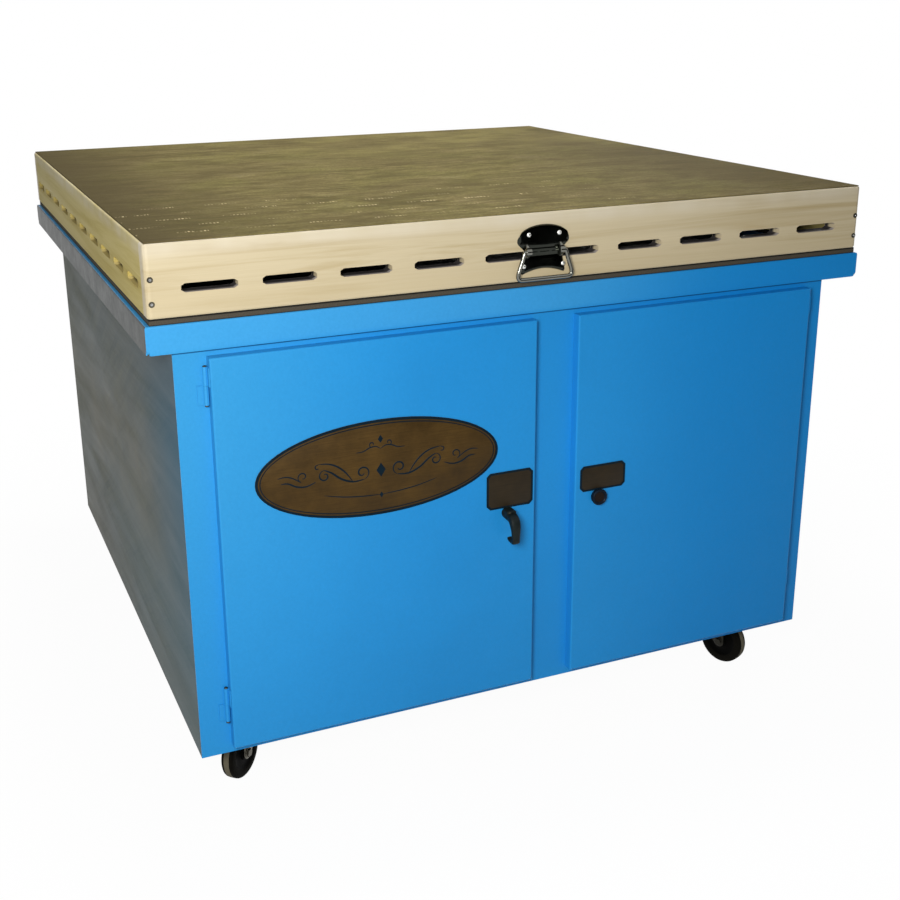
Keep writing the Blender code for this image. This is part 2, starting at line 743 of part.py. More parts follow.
def make_floor_pan():
    """Pressed floor with a flange turned down round it, welded inside the panels."""
    low = (INNER_LEFT + GAP, FRAME_BACK + SHEET + GAP * 2)
    high = (INNER_RIGHT - GAP, PANEL_BACK - SHEET - GAP)
    stations = [
        (0, FLOOR_PAN_UNDERSIDE - FLOOR_PAN_FLANGE),
        (0, FLOOR_TOP),
    ]
    pan = rectangle_loft(low, high, "Z", stations)
    inner = rectangle_loft(low, high, "Z", [
        (SHEET, FLOOR_PAN_UNDERSIDE - FLOOR_PAN_FLANGE - OVERRUN), (SHEET, FLOOR_PAN_UNDERSIDE)])
    make_object("floor_pan", cut(pan, inner), SLATE_PAINT, (0, 0, FLOOR_TOP))


def make_partition():
    """Upright sheet between the filter side and the blower side, with a port for each cartridge."""
    front = FRAME_FACE + OPENING_RETURN + GAP
    tip = PARTITION_X + PANEL_RETURN
    back = PANEL_BACK - GAP * 2
    outline = [
        (PARTITION_X, front), (tip, front), (tip, front + SHEET), (PARTITION_X + SHEET, front + SHEET),
        (PARTITION_X + SHEET, back - SHEET), (tip, back - SHEET), (tip, back), (PARTITION_X, back),
    ]
    sheet = prism(outline, "Z", FLOOR_TOP + GAP, SHELF_UNDERSIDE - GAP)
    ports = []
    for centre in cartridge_centres():
        profile = [(CARTRIDGE_BORE, PARTITION_X - OVERRUN), (CARTRIDGE_BORE, PARTITION_X + SHEET + OVERRUN)]
        ports.append(turned(profile, "X", centre, PLEATS))
    make_object("partition", cut(sheet, merged(*ports)), GALVANISED, (PARTITION_X, front, FLOOR_TOP))


def make_shelf():
    """Plenum shelf that roofs the blower side, with a flange turned up round it."""
    low = (PARTITION_X, PANEL_FRONT + SHEET + GAP)
    high = (INNER_RIGHT - GAP, PANEL_BACK - SHEET - GAP)
    shelf = rectangle_loft(low, high, "Z", [
        (0, SHELF_UNDERSIDE),
        (0, SHELF_TOP + SHELF_FLANGE),
        (SHEET, SHELF_TOP + SHELF_FLANGE),
        (SHEET, SHELF_TOP),
    ])
    make_object("plenum_shelf", shelf, GALVANISED, (0, 0, SHELF_TOP))


# Doors
def make_door(name, left, right, spindle_x):
    """Overlay pan door: bent edges, side walls and a lip turned in behind."""
    bend = [(DOOR_BEND * (1 - math.sin(angle)), DOOR_FACE + DOOR_BEND * (1 - math.cos(angle)))
            for angle in (math.pi / 2 * step / BEND_STEPS for step in range(BEND_STEPS + 1))]
    stations = bend + [
        (0, DOOR_REAR),
        (DOOR_LIP, DOOR_REAR),
        (DOOR_LIP, DOOR_REAR - DOOR_SHEET),
        (DOOR_SHEET, DOOR_REAR - DOOR_SHEET),
        (DOOR_SHEET, DOOR_FACE + DOOR_SHEET),
    ]
    pan = rectangle_loft((left, DOOR_BOTTOM), (right, DOOR_TOP), "Y", stations)
    radius = clear_bore(SPINDLE_RADIUS, SMALL_ROUND_STEPS)
    hole = turned(
        [(radius, DOOR_FACE - OVERRUN), (radius, DOOR_FACE + DOOR_SHEET + OVERRUN)],
        "Y", (spindle_x, LATCH_HEIGHT), SMALL_ROUND_STEPS)
    make_object(name, cut(pan, hole), BLUE_PAINT, (left, DOOR_FACE, DOOR_BOTTOM))


def make_hinge(side, level, edge, outward, bottom):
    """Lift-off barrel hinge: the lower knuckle carries the pin, the upper one turns on it.

    Outward is the sign of travel along X away from the door.
    """
    axis_x = edge + outward * (GAP + BARREL_RADIUS)
    axis_y = FRAME_FACE - GAP - BARREL_RADIUS
    middle = bottom + HINGE_LENGTH / 2
    top = bottom + HINGE_LENGTH
    centre = (axis_x, axis_y)
    frame_knuckle = turned([
        (0, bottom - PIN_HEAD_LENGTH),
        (PIN_HEAD_RADIUS, bottom - PIN_HEAD_LENGTH),
        (PIN_HEAD_RADIUS, bottom),
        (BARREL_RADIUS, bottom),
        (BARREL_RADIUS, middle - GAP / 2),
        (PIN_RADIUS, middle - GAP / 2),
        (PIN_RADIUS, top),
        (0, top),
    ], "Z", centre, SMALL_ROUND_STEPS)
    low_x, high_x = sorted((axis_x, axis_x + outward * HINGE_LEAF))
    leaf = block(
        (low_x, axis_y + BARREL_RADIUS - HINGE_LEAF_THICKNESS, bottom),
        (high_x, axis_y + BARREL_RADIUS, middle - GAP / 2))
    make_object(f"{side}_{level}_hinge_frame_leaf", join(frame_knuckle, leaf), BLUE_PAINT, (*centre, bottom))
    bore = clear_bore(PIN_RADIUS, SMALL_ROUND_STEPS)
    door_knuckle = turned([
        (bore, middle + GAP / 2),
        (BARREL_RADIUS, middle + GAP / 2),
        (BARREL_RADIUS, top),
        (bore, top),
    ], "Z", centre, SMALL_ROUND_STEPS, ring=True)
    low_x, high_x = sorted((axis_x - outward * BARREL_RADIUS,
                            axis_x - outward * (BARREL_RADIUS - HINGE_LEAF_THICKNESS)))
    leaf = block(
        (low_x, axis_y - HINGE_LEAF, middle + GAP / 2),
        (high_x, axis_y, top))
    make_object(f"{side}_{level}_hinge_door_leaf", join(door_knuckle, leaf), BLUE_PAINT, (*centre, middle))


def make_doors():
    make_door("left_door", LEFT_DOOR_LEFT, LEFT_DOOR_RIGHT, latch_x())
    make_door("right_door", RIGHT_DOOR_LEFT, RIGHT_DOOR_RIGHT, knob_x())
    upper = DOOR_TOP - HINGE_END_INSET - HINGE_LENGTH
    lower = DOOR_BOTTOM + HINGE_BOTTOM_INSET
    for level, bottom in (("upper", upper), ("lower", lower)):
        make_hinge("left", level, LEFT_DOOR_LEFT, -1, bottom)
        make_hinge("right", level, RIGHT_DOOR_RIGHT, 1, bottom)


# Latches
def latch_x():
    return LEFT_DOOR_RIGHT - LATCH_INSET


def knob_x():
    return RIGHT_DOOR_LEFT + KNOB_INSET


def cam_front():
    return FRAME_FACE + OPENING_RETURN + CAM_CLEARANCE


def make_cam(name, spindle_x):
    """Flat cam bar that hangs down inside the opening when released."""
    radius = CAM_WIDTH / 2
    upper = arc((spindle_x, LATCH_HEIGHT), radius, 0, math.pi, SMALL_ROUND_STEPS // 2)
    foot = LATCH_HEIGHT - CAM_LENGTH + radius
    lower = arc((spindle_x, foot), radius, math.pi, math.tau, SMALL_ROUND_STEPS // 2)
    bar = prism(upper + lower, "Y", cam_front(), cam_front() + CAM_THICKNESS)
    bore = clear_bore(SPINDLE_RADIUS, SMALL_ROUND_STEPS)
    hole = turned([(bore, cam_front() - OVERRUN), (bore, cam_front() + CAM_THICKNESS + OVERRUN)],
                  "Y", (spindle_x, LATCH_HEIGHT), SMALL_ROUND_STEPS)
    make_object(name, cut(bar, hole), ZINC, (spindle_x, cam_front(), LATCH_HEIGHT))


def make_latch():
    """L-handle: a hub on the door, and a lever that stands off and hooks back at its foot."""
    x = latch_x()
    base = DOOR_FACE - GAP
    hub = turned([
        (0, base - HUB_LENGTH),
        (HUB_RADIUS, base - HUB_LENGTH),
        (HUB_RADIUS, base),
        (SPINDLE_RADIUS, base),
        (SPINDLE_RADIUS, cam_front() + CAM_THICKNESS + OVERRUN),
        (0, cam_front() + CAM_THICKNESS + OVERRUN),
    ], "Y", (x, LATCH_HEIGHT), FORK_STEPS)
    front = DOOR_FACE - LATCH_REACH
    rear = front + LEVER_THICKNESS
    top = LATCH_HEIGHT + HUB_RADIUS
    foot = LATCH_HEIGHT - LEVER_DROP
    shoulder = base - HUB_LENGTH / 2
    side_view = [
        (shoulder, top),
        (rear, top),
        (front, LATCH_HEIGHT + HUB_RADIUS / 2),
        (front, foot + LEVER_THICKNESS / 2),
        (front + LEVER_THICKNESS / 2, foot),
        (rear, foot),
        (rear + LEVER_HOOK, foot + LEVER_HOOK_TIP),
        (rear + LEVER_HOOK, foot + LEVER_HOOK_TIP * 2),
        (rear, foot + LEVER_THICKNESS),
        (rear, LATCH_HEIGHT - HUB_RADIUS),
        (shoulder, LATCH_HEIGHT - HUB_RADIUS / 2),
    ]
    half = LEVER_WIDTH / 2
    half_foot = LEVER_FOOT_WIDTH / 2
    front_view = [
        (x - half_foot, foot - OVERRUN), (x + half_foot, foot - OVERRUN),
        (x + half, LATCH_HEIGHT), (x + half, top - half_foot / 2), (x + half_foot, top + OVERRUN),
        (x - half_foot, top + OVERRUN), (x - half, top - half_foot / 2), (x - half, LATCH_HEIGHT),
    ]
    lever = boolean(
        prism(side_view, "X", x - LEVER_WIDTH, x + LEVER_WIDTH),
        prism(front_view, "Y", front - OVERRUN, base),
        "INTERSECT")
    make_object("latch_handle", join(hub, lever), BLACK_PLASTIC, (x, base, LATCH_HEIGHT))
    make_cam("latch_cam", x)


def make_knob():
    """Round knob with a dished face on the right door."""
    x = knob_x()
    base = DOOR_FACE - GAP
    front = base - KNOB_LENGTH
    body = turned([
        (0, front + KNOB_DISH),
        (KNOB_RADIUS - KNOB_DISH * 2, front + KNOB_DISH),
        (KNOB_RADIUS - KNOB_DISH, front),
        (KNOB_RADIUS - KNOB_DISH / 3, front + KNOB_DISH / 3),
        (KNOB_RADIUS, front + KNOB_DISH),
        (KNOB_RADIUS, base),
        (SPINDLE_RADIUS, base),
        (SPINDLE_RADIUS, cam_front() + CAM_THICKNESS + OVERRUN),
        (0, cam_front() + CAM_THICKNESS + OVERRUN),
    ], "Y", (x, LATCH_HEIGHT), FORK_STEPS)
    make_object("door_knob", body, BLACK_PLASTIC, (x, base, LATCH_HEIGHT))
    make_cam("knob_cam", x)


# Chest handle
def bail_axis():
    """Y and Z of the line the bail swings on."""
    return TOP_FRONT - GAP - HANDLE_PLATE - EAR_RADIUS, APRON_TOP - HANDLE_DROP - HANDLE_WAIST_DROP


def make_handle():
    """Formed plate with an arched top, drawn-in waist and concave foot, and a curled ear each side."""
    top = APRON_TOP - HANDLE_DROP
    shoulder = top - HANDLE_ARCH
    foot = top - HANDLE_HEIGHT
    axis_y, axis_z = bail_axis()
    crown = bow(-HANDLE_WIDTH / 2 + HANDLE_CORNER, HANDLE_WIDTH / 2 - HANDLE_CORNER, shoulder, HANDLE_ARCH)
    sole = bow(HANDLE_FOOT / 2 - HANDLE_CORNER, -HANDLE_FOOT / 2 + HANDLE_CORNER, foot, HANDLE_FOOT_ARCH)
    lobe = (shoulder + axis_z) / 2
    right = [
        (HANDLE_WIDTH / 2, shoulder - HANDLE_CORNER),
        (HANDLE_WIDTH / 2, lobe),
        (HANDLE_WAIST / 2, axis_z + HANDLE_CORNER),
        (HANDLE_WAIST / 2, axis_z - HANDLE_CORNER),
        (HANDLE_FOOT / 2, foot + HANDLE_CORNER),
    ]
    left = [(-x, z) for x, z in reversed(right)]
    rear = TOP_FRONT - GAP
    plate = prism(crown + right + sole + left, "Y", rear - HANDLE_PLATE, rear)
    for side in (-1, 1):
        inner = side * (HANDLE_WAIST / 2 - EAR_LENGTH)
        outer = side * HANDLE_WAIST / 2
        low, high = sorted((inner, outer))
        bore = clear_bore(BAIL_ROD_RADIUS, SMALL_ROUND_STEPS)
        ear = turned([
            (bore, low), (EAR_RADIUS, low), (EAR_RADIUS, high), (bore, high)],
            "X", (axis_y, axis_z), SMALL_ROUND_STEPS, ring=True)
        web = block((low, axis_y + bore, axis_z - EAR_RADIUS / 2),
                    (high, rear - HANDLE_PLATE / 2, axis_z + EAR_RADIUS / 2))
        plate = join(plate, join(ear, web))
    make_object("handle_plate", plate, CHROME, (0, rear, axis_z))
    half = BAIL_WIDTH / 2
    foot_z = axis_z - BAIL_LENGTH
    stub = HANDLE_WAIST / 2 - EAR_LENGTH
    corner = BAIL_CORNER
    path = []
    for side, order in ((-1, 1), (1, -1)):
        leg = [(side * stub, axis_z), (side * (HANDLE_WAIST / 2 + BAIL_ROD_RADIUS), axis_z)]
        shoulder_arc = arc((side * (HANDLE_WAIST / 2 + BAIL_ROD_RADIUS), axis_z - corner / 2),
                           corner / 2, math.pi / 2, 0 if side > 0 else math.pi, BEND_STEPS)
        foot_arc = arc((side * (half - corner), foot_z + corner), corner,
                       0 if side > 0 else math.pi, -math.pi / 2 if side > 0 else math.pi * 3 / 2, BEND_STEPS)
        path += (leg[:1] + shoulder_arc + foot_arc)[::order]
    rod = swept_rod([(x, axis_y, z) for x, z in path], BAIL_ROD_RADIUS, TINY_ROUND_STEPS)
    make_object("handle_bail", rod, CHROME, (0, axis_y, axis_z))


def bow(start, end, level, rise):
    """Points on a shallow arch that rises between two places on one level."""
    points = []
    for step in range(BOW_STEPS + 1):
        share = step / BOW_STEPS
        points.append((start + (end - start) * share, level + math.sin(math.pi * share) * rise))
    return points


# Rear hinge of the top
def make_rear_hinge():
    """Long three-knuckle hinge across the back, rim leaf with the pin, apron leaf turning on it."""
    axis_y = TOP_BACK + GAP + BARREL_RADIUS
    axis_z = (RIM_TOP + APRON_BOTTOM) / 2
    half = REAR_HINGE_LENGTH / 2
    third = REAR_HINGE_LENGTH / 6
    barrel = turned([
        (0, -half),
        (BARREL_RADIUS, -half),
        (BARREL_RADIUS, -third - GAP),
        (PIN_RADIUS, -third - GAP),
        (PIN_RADIUS, third + GAP),
        (BARREL_RADIUS, third + GAP),
        (BARREL_RADIUS, half),
        (0, half),
    ], "X", (axis_y, axis_z), SMALL_ROUND_STEPS)
    face = axis_y - BARREL_RADIUS
    leaves = []
    for low, high in ((-half, -third - GAP), (third + GAP, half)):
        leaves.append(block((low, face, axis_z - REAR_LEAF), (high, face + HINGE_LEAF_THICKNESS, axis_z)))
    bridge = block((-half, face, axis_z - REAR_LEAF),
                   (half, face + HINGE_LEAF_THICKNESS, axis_z - BARREL_RADIUS - GAP))
    rim_leaf = join(join(barrel, merged(*leaves)), bridge)
    make_object("rear_hinge_rim_leaf", rim_leaf, ZINC, (0, axis_y, axis_z))
    bore = clear_bore(PIN_RADIUS, SMALL_ROUND_STEPS)
    knuckle = turned([
        (bore, -third),
        (BARREL_RADIUS, -third),
        (BARREL_RADIUS, third),
        (bore, third),
    ], "X", (axis_y, axis_z), SMALL_ROUND_STEPS, ring=True)
    tab = block((-third, face, axis_z), (third, face + HINGE_LEAF_THICKNESS, axis_z + REAR_LEAF))
    wing = block((-half, face, axis_z + BARREL_RADIUS + GAP),
                 (half, face + HINGE_LEAF_THICKNESS, axis_z + REAR_LEAF))
    make_object("rear_hinge_apron_leaf", join(join(knuckle, tab), wing), ZINC, (0, axis_y, axis_z))


# Casters
def make_caster(name, x, y, heading):
    """Swivel caster: top plate with kingpin, fork, wheel and axle. It trails towards its heading."""
    top = FLOOR_PAN_UNDERSIDE - GAP
    plate_base = top - CASTER_PLATE
    race_base = plate_base - RACE_DEPTH
    crown_top = plate_base - GAP
    crown_base = crown_top - FORK_CROWN_DEPTH
    web_top = race_base - GAP
    web_base = web_top - FORK_SHEET
    spot = (x, y, 0)
    half_x = CASTER_PLATE_WIDTH / 2
    half_y = CASTER_PLATE_LENGTH / 2
    plate = rectangle_loft((-half_x, -half_y), (half_x, half_y), "Z", [(0, plate_base), (0, top)])
    holes = []
    for side in (-1, 1):
        for end in (-1, 1):
            centre = (side * (half_x - CASTER_BOLT_INSET), end * (half_y - CASTER_BOLT_INSET))
            holes.append(turned(
                [(CASTER_BOLT_RADIUS, plate_base - OVERRUN), (CASTER_BOLT_RADIUS, top + OVERRUN)],
                "Z", centre, HEX_STEPS))
    plate = cut(plate, merged(*holes))
    kingpin = turned([
        (0, plate_base + CASTER_PLATE / 2),
        (RACE_RADIUS, plate_base + CASTER_PLATE / 2),
        (RACE_RADIUS, plate_base),
        (RACE_RADIUS - RACE_DEPTH / 2, race_base),
        (KINGPIN_RADIUS, race_base),
        (KINGPIN_RADIUS, web_base - GAP),
        (KINGPIN_HEAD_RADIUS, web_base - GAP),
        (KINGPIN_HEAD_RADIUS, web_base - GAP - KINGPIN_HEAD_DEPTH),
        (0, web_base - GAP - KINGPIN_HEAD_DEPTH),
    ], "Z", (0, 0), SMALL_ROUND_STEPS)
    make_object(f"{name}_caster_plate", placed(join(plate, kingpin), 0, spot), ZINC, (x, y, top))

    bore = clear_bore(KINGPIN_RADIUS, FORK_STEPS)
    crown = turned([
        (bore, web_top),
        (RACE_RADIUS + GAP, web_top),
        (FORK_CROWN_RADIUS - FORK_SHEET, crown_top),
        (FORK_CROWN_RADIUS, crown_top),
        (FORK_CROWN_RADIUS, crown_base),
        (RACE_RADIUS, web_base),
        (bore, web_base),
    ], "Z", (0, 0), FORK_STEPS, ring=True)
    axle_z = WHEEL_RADIUS
    leg_inner = HUB_HALF_WIDTH + GAP
    leg_outer = leg_inner + FORK_SHEET
    foot_radius = FORK_LEG_WIDTH / 2
    leg_top = web_top - FORK_SHEET / 2
    root = RACE_RADIUS * FORK_ROOT_SHARE
    outline = [(-root, leg_top), (-root, crown_base)]
    foot_steps = SMALL_ROUND_STEPS // 2
    outline += arc((CASTER_TRAIL, axle_z), foot_radius, FORK_FOOT_START, FORK_FOOT_END, foot_steps)
    outline += [(FORK_CROWN_RADIUS * FORK_TIP_SHARE, crown_base), (RACE_RADIUS, leg_top)]
    fork = crown
    for side in (-1, 1):
        low, high = sorted((side * leg_inner, side * leg_outer))
        leg = prism(outline, "Y", low, high)
        bore = clear_bore(AXLE_RADIUS, SMALL_ROUND_STEPS)
        hole = turned([(bore, low - OVERRUN), (bore, high + OVERRUN)], "Y",
                      (CASTER_TRAIL, axle_z), SMALL_ROUND_STEPS)
        fork = join(fork, cut(leg, hole))
    make_object(f"{name}_caster_fork", placed(fork, heading, spot), ZINC, spot)

    half = WHEEL_WIDTH / 2
    tread = WHEEL_RADIUS
    bore = clear_bore(AXLE_RADIUS, WHEEL_STEPS)
    wheel = turned([
        (bore, -HUB_HALF_WIDTH),
        (WHEEL_HUB_RADIUS, -HUB_HALF_WIDTH),
        (WHEEL_HUB_RADIUS, -half),
        (tread - WHEEL_CROWN, -half),
        (tread, -half + WHEEL_CROWN),
        (tread, half - WHEEL_CROWN),
        (tread - WHEEL_CROWN, half),
        (WHEEL_HUB_RADIUS, half),
        (WHEEL_HUB_RADIUS, HUB_HALF_WIDTH),
        (bore, HUB_HALF_WIDTH),
    ], "Y", (CASTER_TRAIL, axle_z), WHEEL_STEPS, ring=True)
    centre = (x + CASTER_TRAIL * math.cos(heading), y + CASTER_TRAIL * math.sin(heading), axle_z)
    make_object(f"{name}_caster_wheel", placed(wheel, heading, spot), BLACK_RUBBER, centre)

    head = leg_outer + GAP
    axle = turned([
        (0, -head - AXLE_HEAD_LENGTH),
        (AXLE_HEAD_RADIUS, -head - AXLE_HEAD_LENGTH),
        (AXLE_HEAD_RADIUS, -head),
        (AXLE_RADIUS, -head),
        (AXLE_RADIUS, head),
        (AXLE_HEAD_RADIUS, head),
        (AXLE_HEAD_RADIUS, head + AXLE_HEAD_LENGTH),
        (0, head + AXLE_HEAD_LENGTH),
    ], "Y", (CASTER_TRAIL, axle_z), HEX_STEPS)
    make_object(f"{name}_caster_axle", placed(axle, heading, spot), STEEL, centre)


def make_casters():
    left = BODY_LEFT + CASTER_SIDE_INSET
    right = BODY_RIGHT - CASTER_SIDE_INSET
    front = FRAME_FACE + CASTER_END_INSET
    back = BODY_BACK - CASTER_END_INSET
    make_caster("front_left", left, front, FRONT_LEFT_HEADING)
    make_caster("front_right", right, front, FRONT_RIGHT_HEADING)
    make_caster("back_left", left, back, BACK_LEFT_HEADING)
    make_caster("back_right", right, back, BACK_RIGHT_HEADING)


# Filters
def cartridge_centres():
    """Y and Z of the two cartridge axes."""
    return [(BODY_MIDDLE_Y - CARTRIDGE_SPACING / 2, CARTRIDGE_HEIGHT),
            (BODY_MIDDLE_Y + CARTRIDGE_SPACING / 2, CARTRIDGE_HEIGHT)]


def make_cartridge(name, centre):
    """Pleated cartridge: zigzag media round an open core, a pan that closes one end and an open collar."""
    open_end = PARTITION_X - GAP
    closed_end = INNER_LEFT + CARTRIDGE_END_ROOM
    outer = []
    inner = []
    for step in range(PLEATS * 2):
        angle = math.tau * step / (PLEATS * 2)
        fold = PLEAT_DEPTH * (step % 2)
        direction = (math.cos(angle), math.sin(angle))
        outer.append((centre[0] + (CARTRIDGE_RADIUS - fold) * direction[0],
                      centre[1] + (CARTRIDGE_RADIUS - fold) * direction[1]))
        inner.append((centre[0] + CARTRIDGE_BORE * direction[0], centre[1] + CARTRIDGE_BORE * direction[1]))
    start = closed_end + CARTRIDGE_CAP_PLATE / 2
    end = open_end - CARTRIDGE_CAP / 2
    data = bmesh.new()
    rows = []
    for outline, along in ((outer, start), (outer, end), (inner, end), (inner, start)):
        rows.append([data.verts.new(on_axis("X", along, *point)) for point in outline])
    for first, second in zip(rows, rows[1:] + rows[:1]):
        for step in range(PLEATS * 2):
            after = (step + 1) % (PLEATS * 2)
            data.faces.new((first[step], first[after], second[after], second[step]))
    rim = CARTRIDGE_RADIUS + CARTRIDGE_CAP_LIP
    valley = CARTRIDGE_RADIUS - PLEAT_DEPTH
    cap = turned([
        (0, closed_end),
        (rim - CARTRIDGE_CAP_LIP, closed_end),
        (rim, closed_end + CARTRIDGE_CAP_LIP),
        (rim, closed_end + CARTRIDGE_CAP),
        (valley, closed_end + CARTRIDGE_CAP),
        (valley, closed_end + CARTRIDGE_CAP_PLATE),
        (0, closed_end + CARTRIDGE_CAP_PLATE),
    ], "X", centre, PLEATS)
    collar = turned([
        (CARTRIDGE_BORE, open_end - CARTRIDGE_CAP),
        (rim, open_end - CARTRIDGE_CAP),
        (rim, open_end),
        (CARTRIDGE_BORE, open_end),
    ], "X", centre, PLEATS, ring=True)
    make_object(name, join(join(data, cap), collar), FILTER_MEDIA, (open_end, *centre))


def make_filters():
    front, back = cartridge_centres()
    make_cartridge("front_cartridge", front)
    make_cartridge("rear_cartridge", back)
    low = (INNER_LEFT + TRAY_SIDE_ROOM + PANEL_RETURN, FRAME_FACE + OPENING_RETURN + TRAY_SIDE_ROOM)
    high = (PARTITION_X - TRAY_SIDE_ROOM, PANEL_BACK - TRAY_END_ROOM)
    tray = rectangle_loft(low, high, "Z", [
        (0, FLOOR_TOP + GAP),
        (0, FLOOR_TOP + TRAY_HEIGHT),
        (TRAY_WALL, FLOOR_TOP + TRAY_HEIGHT),
        (TRAY_WALL, FLOOR_TOP + GAP + TRAY_WALL),
    ])
    make_object("dust_tray", tray, GALVANISED, (low[0], low[1], FLOOR_TOP))


# Blower
def blower_centre():
    """Y and Z of the blower's axis, with the scroll's foot on the floor pan."""
    turn = math.pi / 2 + SCROLL_CUTOFF
    whole = math.pi * 3 / 2 + SCROLL_CUTOFF
    bottom = SCROLL_START_RADIUS + (SCROLL_END_RADIUS - SCROLL_START_RADIUS) * turn / whole
    return BODY_BACK - SCROLL_BACK_ROOM, FLOOR_TOP + GAP + SCROLL_FOOT + bottom


def scroll_outline(wall, reach):
    """Spiral side outline with its outlet run out to reach, drawn in by the wall."""
    y, z = blower_centre()
    whole = math.pi * 3 / 2 + SCROLL_CUTOFF
    points = []
    for step in range(SCROLL_STEPS + 1):
        share = step / SCROLL_STEPS
        angle = SCROLL_CUTOFF - whole * share
        radius = SCROLL_START_RADIUS + (SCROLL_END_RADIUS - SCROLL_START_RADIUS) * share - wall
        points.append((y + radius * math.cos(angle), z + radius * math.sin(angle)))
    points.append((reach, z + SCROLL_END_RADIUS - wall))
    points.append((reach, z + SCROLL_START_RADIUS * math.sin(SCROLL_CUTOFF) + wall))
    return points


def scroll_sides():
    """X of the scroll's inlet side and of its motor side."""
    inlet = PARTITION_X + SCROLL_SIDE_ROOM
    return inlet, inlet + SCROLL_WIDTH


def duct_mouth():
    """Corners in X and Z of the inside of the scroll's outlet, which runs out through the back panel."""
    z = blower_centre()[1]
    left, right = scroll_sides()
    low = z + SCROLL_START_RADIUS * math.sin(SCROLL_CUTOFF)
    return (left + SHEET, low + SHEET), (right - SHEET, z + SCROLL_END_RADIUS - SHEET)


def make_blower_housing():
    """Folded scroll housing with a round inlet, a shaft hole and an outlet that ends at the grille."""
    y, z = blower_centre()
    left, right = scroll_sides()
    reach = BODY_BACK
    shell = prism(scroll_outline(0, reach), "X", left, right)
    foot = block((left, y - SCROLL_FOOT_WIDTH / 2, FLOOR_TOP + GAP),
                 (right, y + SCROLL_FOOT_WIDTH / 2, z - SCROLL_START_RADIUS))
    shell = join(shell, foot)
    hollow = prism(scroll_outline(SHEET, reach + OVERRUN), "X", left + SHEET, right - SHEET)
    shell = cut(shell, hollow)
    inlet = turned([(INLET_RADIUS, left - OVERRUN), (INLET_RADIUS, left + SHEET + OVERRUN)],
                   "X", (y, z), ROUND_STEPS)
    shell = cut(shell, inlet)
    bore = clear_bore(SHAFT_RADIUS, SMALL_ROUND_STEPS)
    shaft_hole = turned([(bore, right - SHEET - OVERRUN), (bore, right + OVERRUN)],
                        "X", (y, z), SMALL_ROUND_STEPS)
    make_object("blower_housing", cut(shell, shaft_hole), GALVANISED, (left, y, z))


def curved_blade(start, eye_side, back_side):
    """A blade swept back round the axis, from its root to its tip inside the shroud and the back disc."""
    y, z = blower_centre()
    tip = IMPELLER_RADIUS - BLADE_THICKNESS
    foot = back_side - IMPELLER_DISC / 2
    data = bmesh.new()
    rows = []
    for step in range(BLADE_STEPS + 1):
        share = step / BLADE_STEPS
        radius = BLADE_ROOT_RADIUS + (tip - BLADE_ROOT_RADIUS) * share
        rise = max(0, (radius - INLET_RADIUS) / (IMPELLER_RADIUS - INLET_RADIUS)) * SHROUD_RISE
        edge = eye_side + IMPELLER_DISC / 2 + rise
        first = start + BLADE_SWEEP * share
        second = first + BLADE_THICKNESS / radius
        corners = ((edge, first), (edge, second), (foot, second), (foot, first))
        rows.append([
            data.verts.new((x, y + radius * math.cos(angle), z + radius * math.sin(angle)))
            for x, angle in corners])
    for first, second in zip(rows, rows[1:]):
        for index in range(len(first)):
            after = (index + 1) % len(first)
            data.faces.new((first[index], first[after], second[after], second[index]))
    data.faces.new(rows[0])
    data.faces.new(rows[-1])
    return data


def make_impeller():
    """Backward-curved impeller: back disc, hub, blades and a shroud ring round the eye."""
    y, z = blower_centre()
    left, right = scroll_sides()
    middle = (left + right) / 2
    eye_side = middle - IMPELLER_WIDTH / 2
    back_side = middle + IMPELLER_WIDTH / 2
    bore = SHAFT_RADIUS + GAP
    disc = turned([
        (bore, back_side - IMPELLER_DISC - IMPELLER_HUB),
        (IMPELLER_HUB, back_side - IMPELLER_DISC - IMPELLER_HUB),
        (IMPELLER_HUB, back_side - IMPELLER_DISC),
        (IMPELLER_RADIUS, back_side - IMPELLER_DISC),
        (IMPELLER_RADIUS, back_side),
        (bore, back_side),
    ], "X", (y, z), ROUND_STEPS, ring=True)
    shroud = turned([
        (INLET_RADIUS, eye_side),
        (IMPELLER_RADIUS, eye_side + SHROUD_RISE),
        (IMPELLER_RADIUS, eye_side + SHROUD_RISE + IMPELLER_DISC),
        (INLET_RADIUS, eye_side + IMPELLER_DISC),
    ], "X", (y, z), ROUND_STEPS, ring=True)
    blades = [curved_blade(math.tau * blade / BLADES, eye_side, back_side) for blade in range(BLADES)]
    wheel = join(merged(disc, shroud), merged(*blades))
    make_object("impeller", wheel, ALUMINIUM, (middle, y, z))
    end = right + MOTOR_BELL
    start = back_side - IMPELLER_DISC - IMPELLER_HUB
    shaft = turned([(0, start), (SHAFT_RADIUS, start), (SHAFT_RADIUS, end), (0, end)],
                   "X", (y, z), SMALL_ROUND_STEPS)
    make_object("motor_shaft", shaft, STEEL, (right, y, z))


